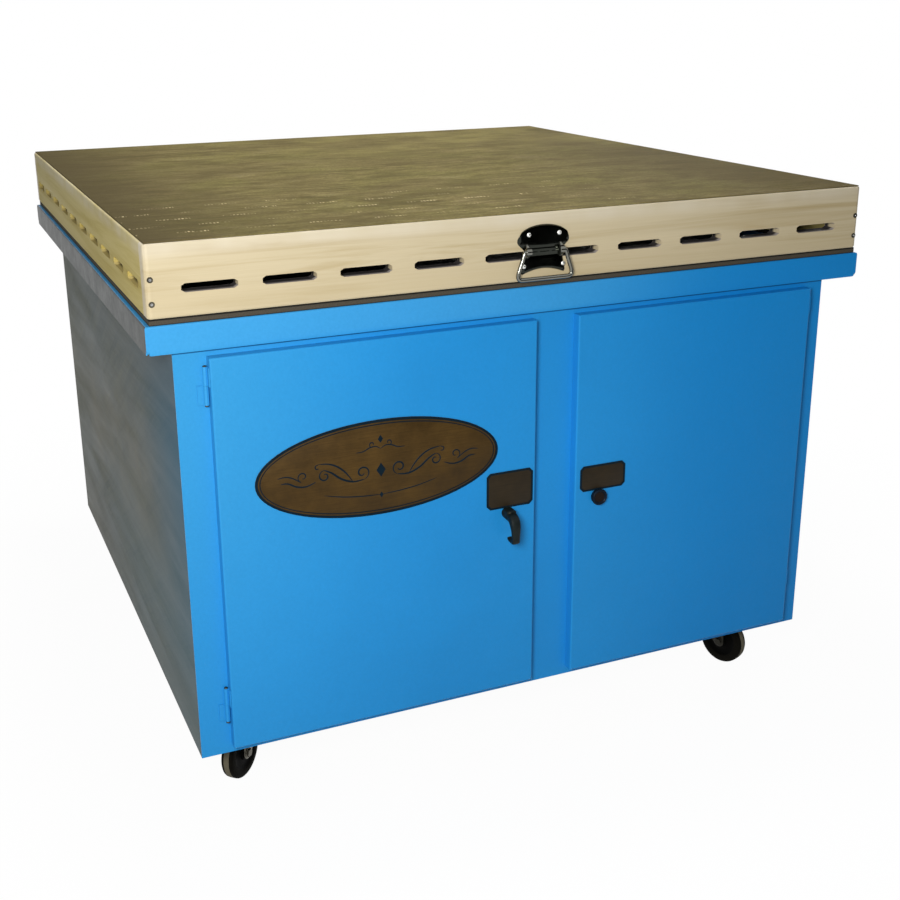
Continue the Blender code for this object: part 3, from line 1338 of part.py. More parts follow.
def make_motor():
    """Finned motor body with end bells, a fan cowl and a terminal box, and its folded base."""
    y, z = blower_centre()
    start = scroll_sides()[1] + GAP
    bell = start + MOTOR_BELL
    body_end = start + MOTOR_LENGTH - MOTOR_COWL
    end = start + MOTOR_LENGTH
    fins = []
    for step in range(MOTOR_FINS * 2):
        for edge_share in (0, MOTOR_FIN_FILL_SHARE):
            angle = math.tau * (step + edge_share) / (MOTOR_FINS * 2)
            radius = MOTOR_RADIUS - (MOTOR_FIN if step % 2 else 0)
            fins.append((y + radius * math.cos(angle), z + radius * math.sin(angle)))
    body = prism(fins, "X", bell - OVERRUN, body_end + OVERRUN)
    ends = turned([
        (0, start),
        (MOTOR_NOSE_RADIUS, start),
        (MOTOR_RADIUS - MOTOR_FIN, bell),
        (MOTOR_RADIUS - MOTOR_FIN, body_end),
        (MOTOR_COWL_RADIUS, body_end),
        (MOTOR_COWL_RADIUS, end - MOTOR_FIN),
        (MOTOR_COWL_RADIUS - MOTOR_FIN, end),
        (0, end),
    ], "X", (y, z), MOTOR_FINS * 2)
    box_centre = (bell + body_end) / 2
    half_box = TERMINAL_BOX / 2
    box = block((box_centre - half_box, y - half_box, z),
                (box_centre + half_box, y + half_box, z + MOTOR_RADIUS + TERMINAL_BOX_HEIGHT))
    motor = join(join(body, ends), box)
    bore = clear_bore(SHAFT_RADIUS, SMALL_ROUND_STEPS)
    motor = cut(motor, turned([(bore, start - OVERRUN), (bore, bell + GAP)], "X", (y, z), SMALL_ROUND_STEPS))
    make_object("motor", motor, MOTOR_GREY, (start, y, z))
    make_motor_base(bell, end - MOTOR_COWL)


def make_motor_base(start, end):
    """Folded stand under the motor with turned-out feet, and a cradle that fits round the motor body."""
    y, z = blower_centre()
    saddle = z - MOTOR_COWL_RADIUS - GAP
    base = FLOOR_TOP + GAP
    inner = MOTOR_BASE_WIDTH / 2
    outer = inner + MOTOR_BASE_SHEET
    toe = inner + MOTOR_BASE_LIP
    under = saddle - MOTOR_BASE_SHEET * 2
    over = saddle - MOTOR_BASE_SHEET
    right = [(toe, base), (toe, base + MOTOR_BASE_SHEET), (outer, base + MOTOR_BASE_SHEET), (outer, over)]
    left = [(-outer, over), (-outer, base + MOTOR_BASE_SHEET), (-toe, base + MOTOR_BASE_SHEET), (-toe, base)]
    hollow = [(-inner, base), (-inner, under), (inner, under), (inner, base)]
    stand = prism([(y + across, up) for across, up in right + left + hollow], "X", start, end)
    half = MOTOR_SADDLE_WIDTH / 2
    pad = block((start, y - half, over - MOTOR_SADDLE_SINK), (end, y + half, z - MOTOR_RADIUS / 2))
    radius = clear_bore(MOTOR_RADIUS, ROUND_STEPS)
    cradle = turned([(radius, start - OVERRUN), (radius, end + OVERRUN)], "X", (y, z), ROUND_STEPS)
    make_object("motor_base", join(stand, cut(pad, cradle)), MOTOR_GREY, (start, y, base))


# Back of the cabinet
def make_grille():
    """Exhaust grille: a flanged frame with sloping bars over the duct mouth."""
    low, high = duct_mouth()
    face = BODY_BACK + GAP
    outer_low = (low[0] - GRILLE_BORDER, low[1] - GRILLE_BORDER)
    outer_high = (high[0] + GRILLE_BORDER, high[1] + GRILLE_BORDER)
    frame = rectangle_loft(outer_low, outer_high, "Y", [
        (0, face),
        (0, face + GRILLE_BAR),
        (GRILLE_BORDER / 2, face + GRILLE_DEPTH),
        (GRILLE_BORDER, face + GRILLE_DEPTH),
        (GRILLE_BORDER, face),
    ], ring=True)
    bars = []
    pitch = (high[1] - low[1]) / (GRILLE_BARS + 1)
    for index in range(GRILLE_BARS):
        z = low[1] + pitch * (index + 1)
        outline = [
            (face + GRILLE_BAR, z + pitch / 4), (face + GRILLE_BAR * 2, z + pitch / 4),
            (face + GRILLE_DEPTH - GRILLE_BAR_INSET, z - pitch / 4),
            (face + GRILLE_DEPTH - GRILLE_BAR_INSET - GRILLE_BAR, z - pitch / 4),
        ]
        bars.append(prism(outline, "X", low[0] - GRILLE_BORDER / 4, high[0] + GRILLE_BORDER / 4))
    make_object("exhaust_grille", join(frame, merged(*bars)), SLATE_PAINT, (low[0], face, low[1]))


def make_power_inlet():
    """Box with a cable gland on the back panel, where the supply comes in."""
    right = BODY_RIGHT - INLET_BOX_SIDE_INSET
    low = (right - INLET_BOX_WIDTH, INLET_BOX_HEIGHT_UP)
    high = (right, INLET_BOX_HEIGHT_UP + INLET_BOX_HEIGHT)
    face = BODY_BACK + GAP
    box = rectangle_loft(low, high, "Y", [
        (0, face),
        (0, face + INLET_BOX_DEPTH - INLET_BOX_EDGE),
        (INLET_BOX_EDGE, face + INLET_BOX_DEPTH),
    ])
    centre = ((low[0] + high[0]) / 2, face + INLET_BOX_DEPTH / 2)
    gland = turned([
        (GLAND_RADIUS, low[1] + OVERRUN),
        (GLAND_RADIUS, low[1] - GLAND_LENGTH / 2),
        (GLAND_RADIUS / 2, low[1] - GLAND_LENGTH),
    ], "Z", centre, SMALL_ROUND_STEPS)
    make_object("power_inlet", join(box, gland), BLACK_PLASTIC, (low[0], face, low[1]))


make_top()
make_rim()
make_front_frame()
make_panels()
make_floor_pan()
make_partition()
make_shelf()
make_doors()
make_latch()
make_knob()
make_handle()
make_rear_hinge()
make_casters()
make_filters()
make_blower_housing()
make_impeller()
make_motor()
make_grille()
make_power_inlet()
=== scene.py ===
"""Looks of the downdraft table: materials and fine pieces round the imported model.

Metres, Z up, front at -Y.
"""
import math
import random

import bmesh
import bpy
from mathutils import Matrix, Vector


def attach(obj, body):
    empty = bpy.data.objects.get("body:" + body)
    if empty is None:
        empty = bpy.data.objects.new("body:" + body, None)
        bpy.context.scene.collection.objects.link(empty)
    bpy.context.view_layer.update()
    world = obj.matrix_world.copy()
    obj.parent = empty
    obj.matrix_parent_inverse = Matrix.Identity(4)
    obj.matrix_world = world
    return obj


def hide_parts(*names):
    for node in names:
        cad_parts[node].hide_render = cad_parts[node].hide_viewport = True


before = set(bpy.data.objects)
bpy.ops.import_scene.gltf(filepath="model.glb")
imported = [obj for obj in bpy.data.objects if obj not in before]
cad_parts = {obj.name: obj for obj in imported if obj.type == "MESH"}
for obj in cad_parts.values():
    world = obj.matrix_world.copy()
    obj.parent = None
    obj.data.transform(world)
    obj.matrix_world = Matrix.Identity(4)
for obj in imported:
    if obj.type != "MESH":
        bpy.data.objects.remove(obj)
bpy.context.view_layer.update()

# Sizes shared with the model
GAP = 0.0003
TOP_RIGHT = 0.6096
TOP_FRONT = -0.58865
TOP_BACK = 0.63055
MIDDLE_Y = (TOP_FRONT + TOP_BACK) / 2
APRON_TOP = 0.912
TABLE_HEIGHT = 0.9144
GASKET_MIDDLE = 0.8022
RIM_UNDERSIDE = 0.753
DOOR_FACE = -0.60185

# Slot layout of the deck, repeated for the painted glints of the slots on the mat
ROW_PITCH = 0.058
SLOT_PITCH = 0.1006
SLOT_LENGTH = 0.0508
SLOT_WIDTH = 0.0127
THREAD_PITCH = 0.0056

# Slots of the boards round the top: their height, and how far in painted shade darkens them
SLOT_SILL = 0.824
SLOT_HEAD = 0.873
SLOT_BLEND = 0.004
DARK_FROM = 0.013
DARK_FULL = 0.02
DARK_END = 0.034
WALL_DEPTH = 0.0247
LEDGE_ALLOWANCE = 0.009

# Colours
BLUE = (0.016, 0.28, 0.69)
SLATE = (0.09, 0.114, 0.106)
WOOD_LIGHT = (0.63, 0.54, 0.36)
WOOD_DARK = (0.49, 0.39, 0.215)
# The side boards' maple, a more saturated yellow copy of the front boards' maple: painted shade.
SIDE_WOOD_SHADED_PALE = (0.64, 0.535, 0.2)
SIDE_WOOD_SHADED_DARK = (0.48, 0.37, 0.09)
SLOT_FLOOR = (0.42, 0.38, 0.38)
# The side boards' slot floors, yellow like that maple: painted shade.
SIDE_SLOT_FLOOR_SHADED = (0.62, 0.5, 0.2)

# Camera
CAMERA_PLACE = (-0.91145, -2.28651, 1.22132)
CAMERA_AZIMUTH = math.radians(22.994)
CAMERA_ELEVATION = math.radians(17.863)
CAMERA_ROLL = math.radians(-0.587)
CAMERA_LENS = 50.522
CAMERA_SHIFT = (0.02196, -0.04807)

SMOOTH_ANGLE = math.radians(35)
BEVEL_ANGLE = math.radians(40)


class Value:
    """A node's output that adds, scales and compares like a number."""

    def __init__(self, nodes, socket):
        self.nodes = nodes
        self.socket = socket

    def __add__(self, other):
        return self.nodes.math("ADD", self, other)

    def __sub__(self, other):
        return self.nodes.math("SUBTRACT", self, other)

    def __rsub__(self, other):
        return self.nodes.math("SUBTRACT", other, self)

    def __mul__(self, other):
        return self.nodes.math("MULTIPLY", self, other)

    def __truediv__(self, other):
        return self.nodes.math("DIVIDE", self, other)

    def __lt__(self, other):
        return self.nodes.math("LESS_THAN", self, other)

    def __abs__(self):
        return self.nodes.math("ABSOLUTE", self)


class Nodes:
    """Builds the node tree of a material or a world."""

    def __init__(self, owner):
        owner.use_nodes = True
        self.owner = owner
        self.tree = owner.node_tree

    def add(self, kind, inputs=None, **settings):
        node = self.tree.nodes.new(kind)
        for key, value in settings.items():
            setattr(node, key, value)
        for key, value in (inputs or {}).items():
            self.put(node.inputs[key], value)
        return node

    def value(self, kind, inputs=None, output=0, **settings):
        return Value(self, self.add(kind, inputs, **settings).outputs[output])

    def put(self, socket, value):
        if isinstance(value, Value):
            self.tree.links.new(value.socket, socket)
        elif isinstance(value, tuple) and len(value) == 3 and len(socket.default_value) == 4:
            socket.default_value = (*value, 1.0)
        else:
            socket.default_value = value

    def set(self, tone, roughness, normal, specular=None, metallic=None):
        """Puts the finished values on the shader and returns the material."""
        shader = self.tree.nodes["Principled BSDF"]
        values = {"Base Color": tone, "Roughness": roughness, "Normal": normal,
                  "Specular IOR Level": specular, "Metallic": metallic}
        for key, value in values.items():
            if value is not None:
                self.put(shader.inputs[key], value)
        return self.owner

    def coords(self, kind="Object"):
        return self.value("ShaderNodeTexCoord", output=kind)

    def xyz(self, kind="Object"):
        parts = self.add("ShaderNodeSeparateXYZ", {"Vector": self.coords(kind)}).outputs
        return [Value(self, part) for part in parts]

    def noise(self, scale, detail, roughness, stretch=(1, 1, 1), distortion=0.0, vector=None):
        """Noise on the piece at rest, its coordinates stretched, or on a vector of its own."""
        if vector is None:
            vector = self.value("ShaderNodeMapping", {"Vector": self.coords(), "Scale": stretch})
        inputs = {"Vector": vector, "Scale": scale, "Detail": detail,
                  "Roughness": roughness, "Distortion": distortion}
        return self.value("ShaderNodeTexNoise", inputs, "Fac")

    def ramp(self, factor, *stops):
        node = self.add("ShaderNodeValToRGB", {"Fac": factor})
        elements = node.color_ramp.elements
        while len(elements) < len(stops):
            elements.new(0.5)
        for element, (at, colour) in zip(elements, stops):
            element.position = at
            element.color = (*colour, 1.0) if isinstance(colour, tuple) else (colour, colour, colour, 1.0)
        return Value(self, node.outputs["Color"])

    def math(self, operation, first, second=0.0):
        return self.value("ShaderNodeMath", {0: first, 1: second}, operation=operation)

    def mix(self, factor, first, second):
        return self.value("ShaderNodeMix", {0: factor, 6: first, 7: second}, 2, data_type="RGBA")

    def coats(self, tone, *layers):
        """Lays (amount, colour) layers over a tone, one after the other."""
        for amount, colour in layers:
            tone = self.mix(amount, tone, colour)
        return tone

    def bump(self, height, strength, distance, under=None):
        inputs = {"Height": height, "Strength": strength, "Distance": distance}
        if under is not None:
            inputs["Normal"] = under
        return self.value("ShaderNodeBump", inputs)

    def step(self, value, low, high, start=0.0):
        """Start below low, 1 above high, smooth between."""
        inputs = {"Value": value, "From Min": low, "From Max": high, "To Min": start}
        return self.value("ShaderNodeMapRange", inputs, interpolation_type="SMOOTHSTEP")

    def fall(self, value, low, high):
        """1 below low, 0 above high, smooth between."""
        return 1.0 - self.step(value, low, high)

    def plain_rays(self):
        """1 for camera, glossy and transmission rays."""
        path = self.add("ShaderNodeLightPath").outputs
        total = Value(self, path["Is Camera Ray"])
        for kind in ("Is Glossy Ray", "Is Transmission Ray"):
            total = self.math("MAXIMUM", total, Value(self, path[kind]))
        return total


def material(name):
    return Nodes(bpy.data.materials.new(name))


def shade(colour, share):
    return tuple(min(1.0, part * share) for part in colour)


def tinted(colour, shares):
    return tuple(part * share for part, share in zip(colour, shares))


def mixed(first, second, share):
    return tuple(a + (b - a) * share for a, b in zip(first, second))


def drawn_out(axis, along, across):
    """Noise scales for a texture drawn out along one axis."""
    return tuple(along if letter == axis else across for letter in "XYZ")


def enamel(name, side=None, painted_shadow_above=None):
    """Sprayed blue enamel with orange peel, faint clouds and dust, a painted highlight that makes it paler
    at the left and on the rim, and painted shade toward the right.

    A side colour goes on faces that look left, right or back; the rim's is a far darker grey, painted shade.
    A painted shadow lies above the given height, on the strip just under the rim.
    """
    n = material(name)
    x, _, z = n.xyz()
    cloud = n.noise(3.0, 4.0, 0.6)
    # Painted highlight: paler blue at the left, stronger higher up.
    painted_left_highlight = n.fall(x, -0.62, -0.15) * (n.step(z, 0.15, 0.7) * 0.55 + 0.25)
    # Painted highlight: lighter blue on the rim, fading toward the right.
    painted_rim_highlight = n.step(z, RIM_UNDERSIDE - 0.001, RIM_UNDERSIDE + 0.011) * n.fall(x, -0.1, 0.55)
    fine = n.ramp(n.noise(240.0, 2.0, 0.6), (0.3, 0.12), (0.7, 0.0))
    tone = n.coats(
        n.ramp(cloud, (0.3, shade(BLUE, 0.95)), (0.7, shade(BLUE, 1.05))),
        (painted_left_highlight, (0.042, 0.33, 0.66)),
        (painted_rim_highlight * 0.7, (0.055, 0.36, 0.74)),
        # Painted shade: darker and less red toward the right.
        (n.step(x, 0.05, 0.4) * 0.75, (0.004, 0.25, 0.68)),
        (fine, shade(BLUE, 0.6)))
    if side:
        facing = n.xyz("Normal")
        sideways = n.math("MAXIMUM", abs(facing[0]), facing[1])
        grey = n.ramp(cloud, (0.3, shade(side, 0.93)), (0.7, shade(side, 1.07)))
        tone = n.mix(n.step(sideways, 0.35, 0.75), tone, grey)
    speck = n.ramp(n.noise(260.0, 2.0, 0.7), (0.62, 0.0), (0.8, 1.0))
    tone = n.mix(speck * 0.025, tone, (0.6, 0.62, 0.6))
    # Painted shadow on the strip just under the rim.
    if painted_shadow_above:
        tone = n.mix(n.step(z, painted_shadow_above, painted_shadow_above + 0.0006) * 0.85, tone, (0.002, 0.08, 0.22))
    peel = n.bump(n.noise(300.0, 2.0, 0.55), 0.26, 0.0005)
    sag = n.bump(n.noise(14.0, 2.0, 0.5), 0.1, 0.004, peel)
    rough = n.ramp(n.noise(30.0, 4.0, 0.7), (0.3, 0.37), (0.75, 0.51))
    return n.set(tone, rough, sag, 0.2)


def side_enamel():
    """Grey enamel of the side and back sheets, with painted reflections and painted shade over it.

    It has long streaks and slanted sweeps of cool and warm painted reflection, a paler band of painted
    reflection across the middle, painted shadow along the top under the rim, a warmer painted reflection
    toward the back, a bluer front top corner and low front where less reflection is painted, and dust with a
    painted floor reflection along the foot.
    """
    n = material("slate_enamel")
    x, y, z = n.xyz()
    streak = n.noise(1.0, 5.0, 0.62, (2.4, 1.9, 15.0), 0.7)
    fine = n.noise(1.0, 3.0, 0.7, (9.0, 7.0, 130.0))
    # Cool and warm tints of painted reflection, laid in long streaks.
    cool = tinted(SLATE, (0.66, 0.8, 0.88))
    warm = tinted(SLATE, (1.5, 1.3, 1.06))
    slant = n.value("ShaderNodeCombineXYZ", {"X": y * 0.56 + z, "Y": y * 0.12, "Z": x * 0.3})
    # Slanted sweeps of painted reflection.
    reflection_sweep = n.noise(32.0, 5.0, 0.68, vector=slant)
    # Painted reflection: a paler band across the middle height.
    painted_light_patch = n.step(z, 0.22, 0.42) * n.fall(z, 0.46, 0.66)
    # Dust with a painted floor reflection along the foot.
    dust = n.fall(z, 0.1, 0.3) * n.noise(9.0, 4.0, 0.6)
    tone = n.coats(
        n.ramp(streak, (0.3, cool), (0.48, SLATE), (0.72, warm)),
        (n.ramp(reflection_sweep, (0.36, 0.55), (0.5, 0.0)), shade(cool, 0.8)),
        (n.ramp(reflection_sweep, (0.52, 0.0), (0.68, 0.5)), warm),
        (n.ramp(fine, (0.35, 0.4), (0.6, 0.0)), shade(SLATE, 0.6)),
        (painted_light_patch * n.ramp(n.noise(3.2, 4.0, 0.6), (0.38, 0.1), (0.62, 0.8)), (0.16, 0.155, 0.115)),
        # Bluer front top corner, where less reflection is painted.
        (n.fall(y, -0.6, -0.2) * n.step(z, -0.1, 0.6) * 0.85, (0.022, 0.11, 0.18)),
        # Painted shadow along the top, under the rim.
        (n.step(z, 0.58, 0.74) * 0.5, shade(SLATE, 0.5)),
        # Warmer painted reflection toward the back.
        (n.step(y, 0.1, 0.5) * 0.4, (0.075, 0.082, 0.05)),
        # Bluer low front, where less reflection is painted.
        (n.fall(z, 0.2, 0.5) * n.fall(y, -0.2, 0.3) * 0.4, (0.08, 0.16, 0.19)),
        (dust * 0.4, (0.17, 0.14, 0.095)))
    peel = n.bump(n.noise(420.0, 2.0, 0.55), 0.14, 0.0004)
    return n.set(tone, n.ramp(streak, (0.3, 0.36), (0.75, 0.52)), peel, 0.03)


def slot_insides(n, tone, axis, floors):
    """The slots' floors take their own colour at the lip, and further in their floors and walls get painted
    shade.
    """
    x, y, z = n.xyz()
    level = n.step(z, SLOT_SILL - SLOT_BLEND, SLOT_SILL) * n.fall(z, SLOT_HEAD, SLOT_HEAD + SLOT_BLEND)
    ledge = n.step(abs(n.xyz("Normal")[2]), 0.5, 0.9) * level
    if axis == "X":
        depth = TOP_BACK - MIDDLE_Y - abs(y - MIDDLE_Y)
        level = level * (abs(x) < TOP_RIGHT - 0.01)
    else:
        depth = TOP_RIGHT - abs(x)
    depth = depth + ledge * LEDGE_ALLOWANCE
    # Painted shade: the slots' floors and walls go dark further in.
    painted_slot_shade = n.step(depth, DARK_FROM, DARK_FULL) * (depth < DARK_END)
    painted_slot_shade = painted_slot_shade * n.math("MAXIMUM", ledge, depth < WALL_DEPTH)
    return n.coats(tone, (ledge * 0.9, floors), (painted_slot_shade * level, shade(floors, 0.12)))


def grain(name, axis, light, dark, floors=None, roughness=0.44, specular=0.2):
    """Varnished hardwood with its grain along an axis, a paler top band of painted highlight, and slot
    floors of their own colour with painted shade further in.
    """
    n = material(name)
    bands = n.noise(1.0, 5.0, 0.6, drawn_out(axis, 1.3, 26.0), 1.6)
    fibre = n.noise(1.0, 3.0, 0.6, drawn_out(axis, 6.0, 430.0))
    broad = n.noise(1.0, 2.0, 0.5, drawn_out(axis, 0.26, 5.2), 1.0)
    streak = n.noise(1.0, 2.0, 0.4, drawn_out(axis, 0.91, 18.2))
    # Painted highlight: a paler band along the top of the board.
    painted_top_highlight = n.step(n.xyz()[2], 0.884, 0.904) * n.ramp(n.noise(9.0, 3.0, 0.6), (0.3, 0.2), (0.7, 0.75))
    tone = n.coats(
        n.ramp(bands, (0.3, shade(light, 1.05)), (0.5, light), (0.72, dark)),
        (n.ramp(broad, (0.4, 0.0), (0.68, 0.55)), mixed(light, dark, 0.6)),
        (n.ramp(fibre, (0.35, 0.0), (0.75, 0.25)), dark),
        (n.ramp(streak, (0.7, 0.0), (0.78, 0.3)), shade(dark, 0.72)),
        (painted_top_highlight, mixed(light, (0.76, 0.7, 0.58), 0.7)))
    if floors:
        tone = slot_insides(n, tone, axis, floors)
    height = n.bump(bands, 0.12, 0.0015, n.bump(fibre, 0.2, 0.0004))
    rough = n.ramp(bands, (0.3, roughness - 0.05), (0.8, roughness + 0.1))
    return n.set(tone, rough, height, specular)


def slot_glints(n, x, y):
    """Broken pale dashes of painted highlight, where the slots' bright far lips show through the threads
    near the front left.
    """
    # Painted highlight: pale dashes for the slots' bright far lips.
    rows = (y - MIDDLE_Y) / ROW_PITCH
    row = n.math("FLOOR", rows)
    off_row = (rows - row - 0.5) * ROW_PITCH
    shift = (n.math("PINGPONG", row, 1.0) - 0.5) * (SLOT_PITCH / 2)
    columns = (x - shift) / SLOT_PITCH
    off_slot = (columns - n.math("ROUND", columns)) * SLOT_PITCH
    wobble = n.noise(1.0, 2.0, 0.6, (60.0, 60.0, 8.0)) * 0.012 + (SLOT_WIDTH * 0.25 - 0.006)
    lip = n.fall(abs(off_row - wobble), 0.0022, 0.0046)
    speck = n.step(n.math("SINE", x * (math.tau / THREAD_PITCH)), -0.6, 0.3)
    uneven = n.ramp(n.noise(1.0, 2.0, 0.7, (85.0, 110.0, 30.0)), (0.44, 0.0), (0.56, 1.0))
    painted_light_patch = n.ramp(n.noise(1.0, 1.0, 0.5, (9.0, 16.0, 6.0)), (0.38, 0.15), (0.55, 1.0))
    near = n.fall(y, TOP_FRONT + 0.26, TOP_FRONT + 0.36) * n.step(y, TOP_FRONT + 0.034, TOP_FRONT + 0.04)
    inside = abs(off_slot) < SLOT_LENGTH / 2
    return inside * lip * speck * uneven * painted_light_patch * near * n.fall(x, 0.02, 0.34)


def mat_weave():
    """Fine open weave: blotchy streaked olive threads, with painted shade at the left edge and toward the
    right, a painted highlight toward the back, and painted glints near the front.
    """
    n = material("mat_weave")
    x, y, _ = n.xyz()
    streak = n.noise(1.0, 5.0, 0.72, (11.0, 120.0, 11.0), 0.4)
    blotch = n.noise(1.0, 4.0, 0.6, (9.0, 22.0, 9.0), 0.6)
    grit = n.noise(1.0, 2.0, 0.7, (170.0, 420.0, 170.0))
    cloud = n.noise(2.6, 3.0, 0.55)
    green = n.noise(5.5, 3.0, 0.6)
    far = n.step(y, 0.0, 0.45)
    right = n.step(x, 0.1, 0.6) * (1.0 - far)
    back = far * n.step(x, -0.35, 0.15)
    warp = n.math("SINE", x * (math.tau / THREAD_PITCH))
    weft = n.math("SINE", y * (math.tau / (THREAD_PITCH * 0.4)))
    weave = warp * weft
    tone = n.coats(
        n.ramp(streak, (0.3, (0.13, 0.103, 0.038)), (0.5, (0.3, 0.243, 0.098)), (0.7, (0.47, 0.395, 0.185))),
        (n.ramp(green, (0.42, 0.0), (0.62, 0.5)), (0.28, 0.255, 0.08)),
        (n.ramp(blotch, (0.34, 0.65), (0.55, 0.0)), (0.09, 0.072, 0.03)),
        (n.ramp(blotch, (0.55, 0.0), (0.74, 0.4)), (0.36, 0.3, 0.17)),
        (n.ramp(grit, (0.35, 0.6), (0.6, 0.0)), (0.1, 0.08, 0.036)),
        (n.ramp(cloud, (0.36, 0.5), (0.55, 0.0)), (0.15, 0.118, 0.05)),
        # Painted shade at the left edge.
        (n.fall(x, -0.64, -0.34) * 0.95, (0.09, 0.07, 0.032)),
        # Painted shade toward the right, short of the back.
        (right * 0.72, (0.1, 0.077, 0.036)),
        # Painted highlight toward the back.
        (back * n.ramp(green, (0.35, 0.0), (0.6, 0.32)), (0.5, 0.42, 0.17)),
        ((weave + 1.0) * 0.12, (0.085, 0.066, 0.03)),
        (slot_glints(n, x, y), (0.8, 0.66, 0.38)))
    return n.set(tone, 0.85, n.bump(streak, 0.4, 0.0008, n.bump(weave, 0.3, 0.0003)), 0.04)


def foam():
    n = material("gasket_foam")
    cell = n.noise(900.0, 3.0, 0.7)
    tone = n.ramp(cell, (0.3, (0.035, 0.03, 0.021)), (0.7, (0.115, 0.1, 0.076)))
    # Painted shade: darker along the top and bottom edges, where the gasket meets wood and rim.
    edge = abs(n.xyz()[2] - GASKET_MIDDLE)
    tone = n.mix(n.step(edge, 0.0022, 0.0038), tone, (0.014, 0.013, 0.012))
    return n.set(tone, 0.9, n.bump(cell, 0.5, 0.0006), 0.1)


def plated(name, colour, roughness, brushed="X"):
    """Bare or plated metal with fine polishing lines and handling marks."""
    n = material(name)
    brush = n.noise(1.0, 2.0, 0.6, drawn_out(brushed, 18.0, 900.0))
    smear = n.noise(26.0, 4.0, 0.65)
    tone = n.ramp(smear, (0.3, shade(colour, 0.9)), (0.7, shade(colour, 1.06)))
    rough = n.ramp(smear, (0.3, roughness * 0.7), (0.75, roughness * 1.5))
    return n.set(tone, rough, n.bump(brush, 0.06, 0.0002), metallic=1.0)


def galvanised():
    n = material("galvanised")
    cell = n.value("ShaderNodeTexVoronoi", {"Vector": n.coords(), "Scale": 60.0}, "Color")
    grey = n.value("ShaderNodeSeparateColor", {"Color": cell})
    tone = n.ramp(grey, (0.0, (0.43, 0.45, 0.46)), (1.0, (0.6, 0.61, 0.61)))
    rough = n.ramp(grey, (0.0, 0.34), (1.0, 0.5))
    return n.set(tone, rough, n.bump(n.noise(90.0, 3.0, 0.6), 0.08, 0.0004), metallic=0.9)


def moulded(name, colour, roughness=0.42, specular=0.35, scale=700.0):
    """Moulded or cast black and grey parts: fine grain, rubbed patches."""
    n = material(name)
    rub = n.noise(45.0, 4.0, 0.7)
    tone = n.ramp(rub, (0.35, colour), (0.75, tuple(part * 1.6 + 0.001 for part in colour)))
    rough = n.ramp(rub, (0.3, roughness - 0.06), (0.75, roughness + 0.12))
    return n.set(tone, rough, n.bump(n.noise(scale, 2.0, 0.6), 0.18, 0.0003), specular)


def tyre(name, dusty):
    """Black rubber. The tread carries floor dust, the side faces little."""
    n = material(name)
    scuff = n.noise(80.0, 5.0, 0.7)
    dust = n.ramp(n.noise(24.0, 4.0, 0.7), (0.3, dusty * 0.7), (0.75, dusty))
    tone = n.ramp(scuff, (0.35, (0.0012, 0.0012, 0.001)), (0.7, (0.004, 0.0038, 0.003)))
    tone = n.mix(dust, tone, (0.23, 0.205, 0.145))
    return n.set(tone, 0.62, n.bump(scuff, 0.25, 0.0006), 0.025)


def bronze(name, low, high):
    """Etched bronze sign blank: aged brown face with brushed lines."""
    n = material(name)
    age = n.noise(16.0, 5.0, 0.65)
    brush = n.noise(1.0, 3.0, 0.6, (30.0, 800.0, 900.0))
    tone = n.ramp(age, (0.3, low), (0.7, high))
    tone = n.mix(n.ramp(brush, (0.35, 0.35), (0.65, 0.0)), tone, shade(low, 0.6))
    return n.set(tone, n.ramp(age, (0.3, 0.42), (0.7, 0.6)), n.bump(brush, 0.12, 0.0002), 0.15)


def media():
    n = material("filter_media")
    fuzz = n.noise(700.0, 3.0, 0.7)
    dust = n.ramp(n.noise(7.0, 4.0, 0.6), (0.4, 0.0), (0.7, 0.55))
    tone = n.ramp(fuzz, (0.3, (0.62, 0.6, 0.52)), (0.7, (0.78, 0.76, 0.69)))
    return n.set(n.mix(dust, tone, (0.5, 0.42, 0.3)), 0.95, n.bump(fuzz, 0.4, 0.0005), 0.1)


